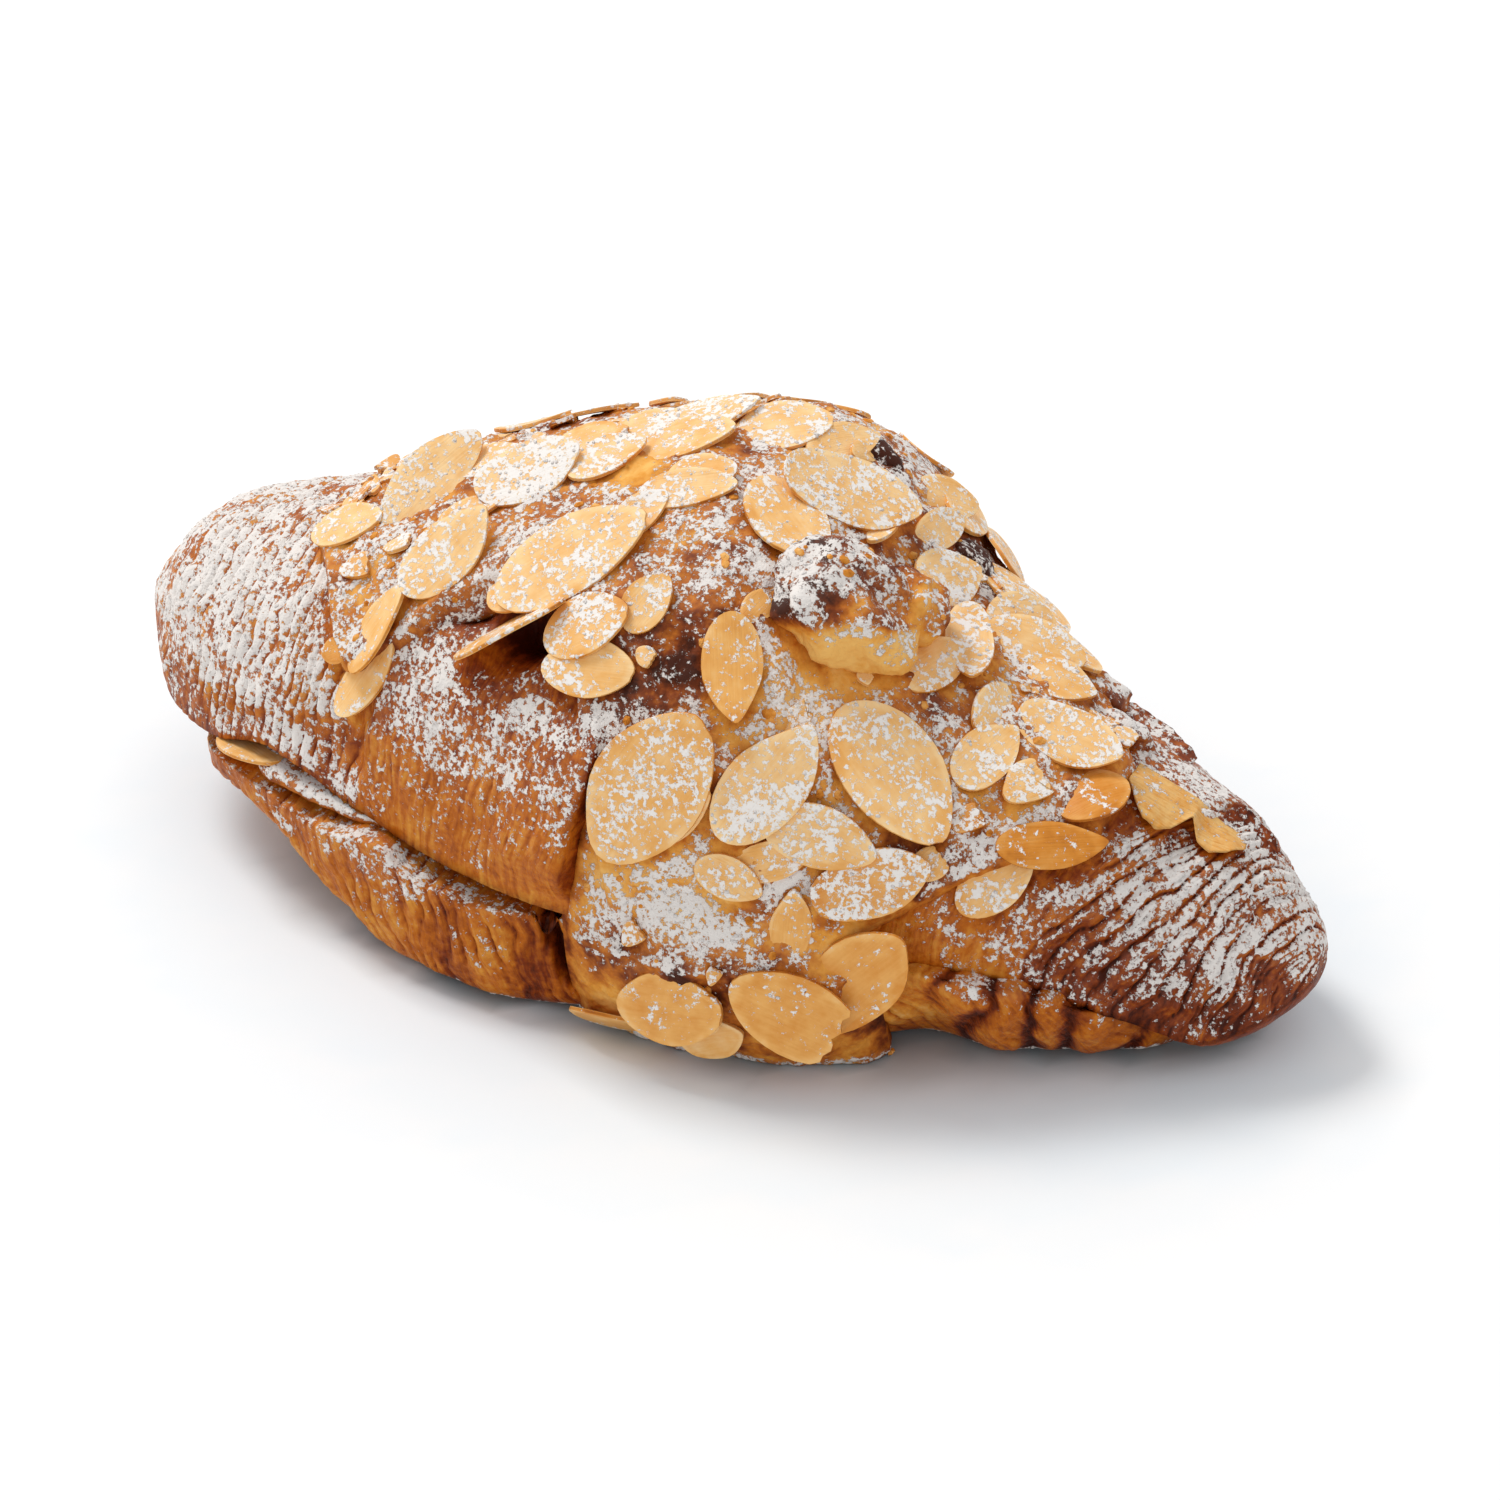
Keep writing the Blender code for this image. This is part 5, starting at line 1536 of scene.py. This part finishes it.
# %% Tones from pale to scorched
CRUST_TONES = (
    (0.00, shade(230, 182, 112)),
    (0.28, shade(214, 142, 52)),
    (0.52, shade(186, 100, 20)),
    (0.78, shade(128, 52, 10)),
    (1.00, shade(66, 20, 4)),
)
CREAM_TONES = (
    (0.00, shade(238, 186, 104)),
    (0.30, shade(224, 154, 62)),
    (0.55, shade(190, 108, 32)),
    (0.80, shade(124, 56, 18)),
    (1.00, shade(66, 26, 8)),
)
ALMOND_TONES = (
    (0.00, shade(250, 214, 158)),
    (0.35, shade(236, 176, 98)),
    (0.70, shade(214, 136, 48)),
    (1.00, shade(168, 92, 24)),
)
print(len(CRUST_TONES), "tones of crust")

# %% [markdown]
# Pastry and cream share one build, in which only the layered dough gets fine streaks. Almonds get
# fibres along the leaf, a browner side, a paler line inside the rim and golden stretches, and their
# sugar lies flatter, because their faces are smooth, and is painted brighter than elsewhere, as light.

# %% Finishes of everything baked


def baked(tones, gloss, layered_dough):
    """A build for anything that bakes from pale to brown. Layered dough also shows fine streaks."""

    def build(graph, place):
        browned = carried_by(graph, "browned")
        mottle = coarse(graph, place, 0.0030, 3.0)
        crumbs = coarse(graph, place, 0.0009, 3.0)
        tone = browned + (crumbs - 0.5) * 0.5
        height = crumbs * 0.6
        if layered_dough:
            across, length = carried_by(graph, "across_layers"), carried_by(graph, "along_layers")
            layers = graph.node("ShaderNodeCombineXYZ", inputs={0: across / 0.5, 1: length / 3.5})
            streaks = drawn_out(graph, layers)
            tone = tone + (mottle - 0.5) * 0.45 + (streaks - 0.5) * 0.5
            height = height + streaks * 0.6
        else:
            tone = tone + (mottle - 0.5) * 0.9
        colour = toned(graph, tones, tone)
        sugar = dusting(graph, place)
        height = height + sugar * (0.18 + coarse(graph, place, 0.0003) * 0.5)
        covered = mixed(graph, sugar, colour, SUGAR_WHITE)
        return covered, gloss + sugar * (0.9 - gloss), height, {"Specular IOR Level": 0.10}

    return build


def almond_build(graph, place):
    """Pale almond with fibres, a browner side, a thin pale line inside the rim and golden stretches."""
    toasted, rim = carried_by(graph, "toasted"), carried_by(graph, "rim")
    leaf = carried_by(graph, "leaf", "Vector")
    stretched = graph.node("ShaderNodeMapping", inputs={"Vector": leaf, "Scale": (3.0, 26.0, 5.0)})
    fibres = drawn_out(graph, stretched)
    mottle = coarse(graph, place, 0.0024, 3.0)
    pale_line = smooth_step(graph, rim, 0.80, 0.95)
    side = smooth_step(graph, rim, 1.0, 1.12)
    golden = smooth_step(graph, rim, 0.70, 1.0) * smooth_step(graph, coarse(graph, place, 0.006), 0.45, 0.65)
    tone = toasted * (toasted * 0.6 + 0.35) + 0.04
    tone = tone + (mottle - 0.5) * 0.6 + (fibres - 0.5) * 0.22
    tone = tone - pale_line * 0.14 + side * 0.35 + golden * 0.35
    colour = toned(graph, ALMOND_TONES, tone)
    sugar = dusting(graph, place)
    height = fibres * 0.25 + sugar * (0.12 + coarse(graph, place, 0.0003) * 0.2)
    covered = mixed(graph, sugar, colour, SUGAR_PAINTED_BRIGHTER_ON_ALMONDS)
    return covered, 0.40 + sugar * 0.45, height, {"Specular IOR Level": 0.15}


print("builds ready")

# %% [markdown]
# Loose sugar and crumbs are too small to need more than a tone and a little relief. The floor is white,
# with a shadow painted into its colour: cooler and darker where the croissant hides the room, because in
# the picture its shadow is deepest along the foot.

# %% Finishes of loose sugar, crumbs and floor, and which piece gets which


def sugar_build(graph, place):
    """Loose sugar, nearly white."""
    fine = coarse(graph, place, 0.0002)
    colour = mixed(graph, fine, shade(230, 224, 220), shade(222, 216, 212))
    return colour, 0.85 + fine * 0.1, fine, {"Specular IOR Level": 0.1}


def crumb_build(graph, place):
    """Crumbs, each its own tone of toast."""
    tone = coarse(graph, place, 0.0016, 2.0) * 1.6 - 0.2
    colour = toned(graph, ALMOND_TONES, tone)
    return colour, 0.6 + tone * 0.1, coarse(graph, place, 0.0004), {"Specular IOR Level": 0.12}


def floor_build(graph, place):
    """White tabletop, painted shadow: cooler near the croissant and grey where it hides most of the room."""
    soft = coarse(graph, place, 0.05)
    covered = carried_by(graph, "covered")
    white = mixed(graph, soft, shade(249, 249, 249), shade(247, 247, 247))
    # Painted shadow: cooler where the croissant hides part of the room, grey where it hides most.
    cool_painted_shade = mixed(graph, smooth_step(graph, covered, 0.02, 0.45), white, shade(236, 243, 248))
    colour = mixed(graph, smooth_step(graph, covered, 0.45, 0.90), cool_painted_shade, shade(160, 168, 172))
    return colour, 0.8 + soft * 0.1, soft * 0.02, {"Specular IOR Level": 0.1}


crust = finish(bpy.data.materials.new("baked_crust"), baked(CRUST_TONES, 0.38, True))
cream = finish(bpy.data.materials.new("baked_almond_cream"), baked(CREAM_TONES, 0.55, False))
finish(almond, almond_build)
sugar = finish(bpy.data.materials.new("icing_sugar"), sugar_build)
crumb = finish(bpy.data.materials.new("toasted_crumb"), crumb_build)
tabletop = finish(bpy.data.materials.new("white_tabletop_painted_shadow"), floor_build)
for piece, finish_of_piece in (
    (upper_pastry, crust),
    (lower_pastry, crust),
    (torn_pastry, crust),
    (cream_filling, cream),
    (cream_topping, cream),
    (floor, tabletop),
):
    piece.data.materials.append(finish_of_piece)

# %% [markdown]
# ## Loose sugar and crumbs
# Seen close, icing sugar gathers in clumps of a few tenths of a millimetre, and the edges of the almonds
# shed crumbs. Both are scattered by one Geometry Nodes tree: points over all the pieces, as dense as the
# dusting number says, each with a tiny twenty-sided stone of its own size and turn. Particles would do it
# too, but a tree's density can read the same noise as the finish, so clumps lie where it shows sugar.

# %% Loose sugar and crumbs


def scattered(name, pieces, number_name, material, values, smooth):
    """A piece of many small stones over other pieces, denser where the named number is higher."""
    holder = bpy.data.objects.new(name, bpy.data.meshes.new(name))
    bpy.context.scene.collection.objects.link(holder)
    inputs = {
        "Stones per Square Metre": "NodeSocketFloat",
        "Smallest": "NodeSocketFloat",
        "Largest": "NodeSocketFloat",
        "Flatness": "NodeSocketFloat",
        "Sparse Below": "NodeSocketFloat",
        "Seed": "NodeSocketInt",
        "Finish": "NodeSocketMaterial",
    }
    graph, given, known = new_tree("scatter_" + name, inputs)
    ground = everything(graph, pieces)
    number = named(graph, number_name, "FLOAT")
    excess = sugar_excess(graph, graph.node("GeometryNodeInputPosition"), number)
    above = smooth_step(graph, excess, given["Sparse Below"], given["Sparse Below"] + 0.4)
    points = graph.node(
        "GeometryNodeDistributePointsOnFaces",
        {"distribute_method": "RANDOM"},
        {"Mesh": ground, "Density": above * given["Stones per Square Metre"], "Seed": given["Seed"]},
    )
    upright = Socket(graph, points.output.node.outputs["Rotation"])

    def between(least, most):
        limits = {2: least, 3: most, "Seed": given["Seed"]}
        return graph.node("FunctionNodeRandomValue", {"data_type": "FLOAT"}, limits, output=1)

    size = between(given["Smallest"], given["Largest"])
    spin = between(0.0, 2 * math.pi)
    sizes = {0: size * between(0.7, 1.5), 1: size, 2: size * given["Flatness"]}
    stone_size = graph.node("ShaderNodeCombineXYZ", inputs=sizes)
    about = graph.node("ShaderNodeCombineXYZ", inputs={2: spin})
    turned_by = graph.node("FunctionNodeEulerToRotation", inputs={"Euler": about})
    posed = graph.node("FunctionNodeRotateRotation", {"rotation_space": "LOCAL"}, {0: upright, 1: turned_by})
    stone = graph.node("GeometryNodeMeshIcoSphere", inputs={"Radius": 1.0, "Subdivisions": 1})
    stones = graph.node(
        "GeometryNodeInstanceOnPoints",
        inputs={"Points": points, "Instance": stone, "Rotation": posed, "Scale": stone_size},
    )
    finished = real_mesh(graph, stones, given["Finish"])
    run_tree(holder, graph, finished, known, {**values, "Finish": material})
    if smooth:
        holder.data.shade_smooth()
    return holder


sugar_values = {
    "Stones per Square Metre": 1.2e6,
    "Smallest": 0.00008,
    "Largest": 0.00024,
    "Flatness": 0.45,
    "Sparse Below": 0.1,
    "Seed": 4,
}
crumb_values = {
    "Stones per Square Metre": 5.0e4,
    "Smallest": 0.00022,
    "Largest": 0.00060,
    "Flatness": 0.6,
    "Sparse Below": -0.4,
    "Seed": 9,
}
sugar_clumps = scattered("sugar_clumps", DUSTED, "sugared", sugar, sugar_values, True)
crumbs = scattered("crumbs", [cream_topping], "sugared", crumb, crumb_values, False)

# %% [markdown]
# ## Put together
# Each piece rides on the croissant's one body and stands for the plain solid that it was built around. The
# table also names a material slot of the record for each piece, which nothing here reads.

# %% Put together
FITTED = (
    (upper_pastry, "pastry_crust", ("upper_half",)),
    (lower_pastry, "pastry_sole", ("lower_half",)),
    (cream_filling, "almond_cream", ("filling",)),
    (cream_topping, "baked_almonds", ("topping",)),
    (flaked_almonds, "baked_almonds", ("topping",)),
    (torn_pastry, "pastry_crust", ()),
    (sugar_clumps, "baked_almonds", ()),
    (crumbs, "almond_cream", ()),
)
for piece, finish_slot, stood_for in FITTED:
    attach(piece, "root")
    if stood_for:
        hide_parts(*stood_for)
triangles = {}
for piece, *_ in FITTED:
    triangles[piece.name] = sum(len(face.vertices) - 2 for face in piece.data.polygons)
print("triangles:", triangles, "in all", sum(triangles.values()))

# %% [markdown]
# Last, the dressed croissant is measured. It should fill the solids' box and pass it by a few
# hundredths at most, or it would no longer fit where the solids do.

# %% Size beside the solids
dressed_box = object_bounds()
boxes = {"solids": solids_box, "dressed": dressed_box}
sizes = {name: [list(corner) for corner in box] for name, box in boxes.items()}
print("dressed box", [tuple(round(v, 4) for v in corner) for corner in dressed_box])
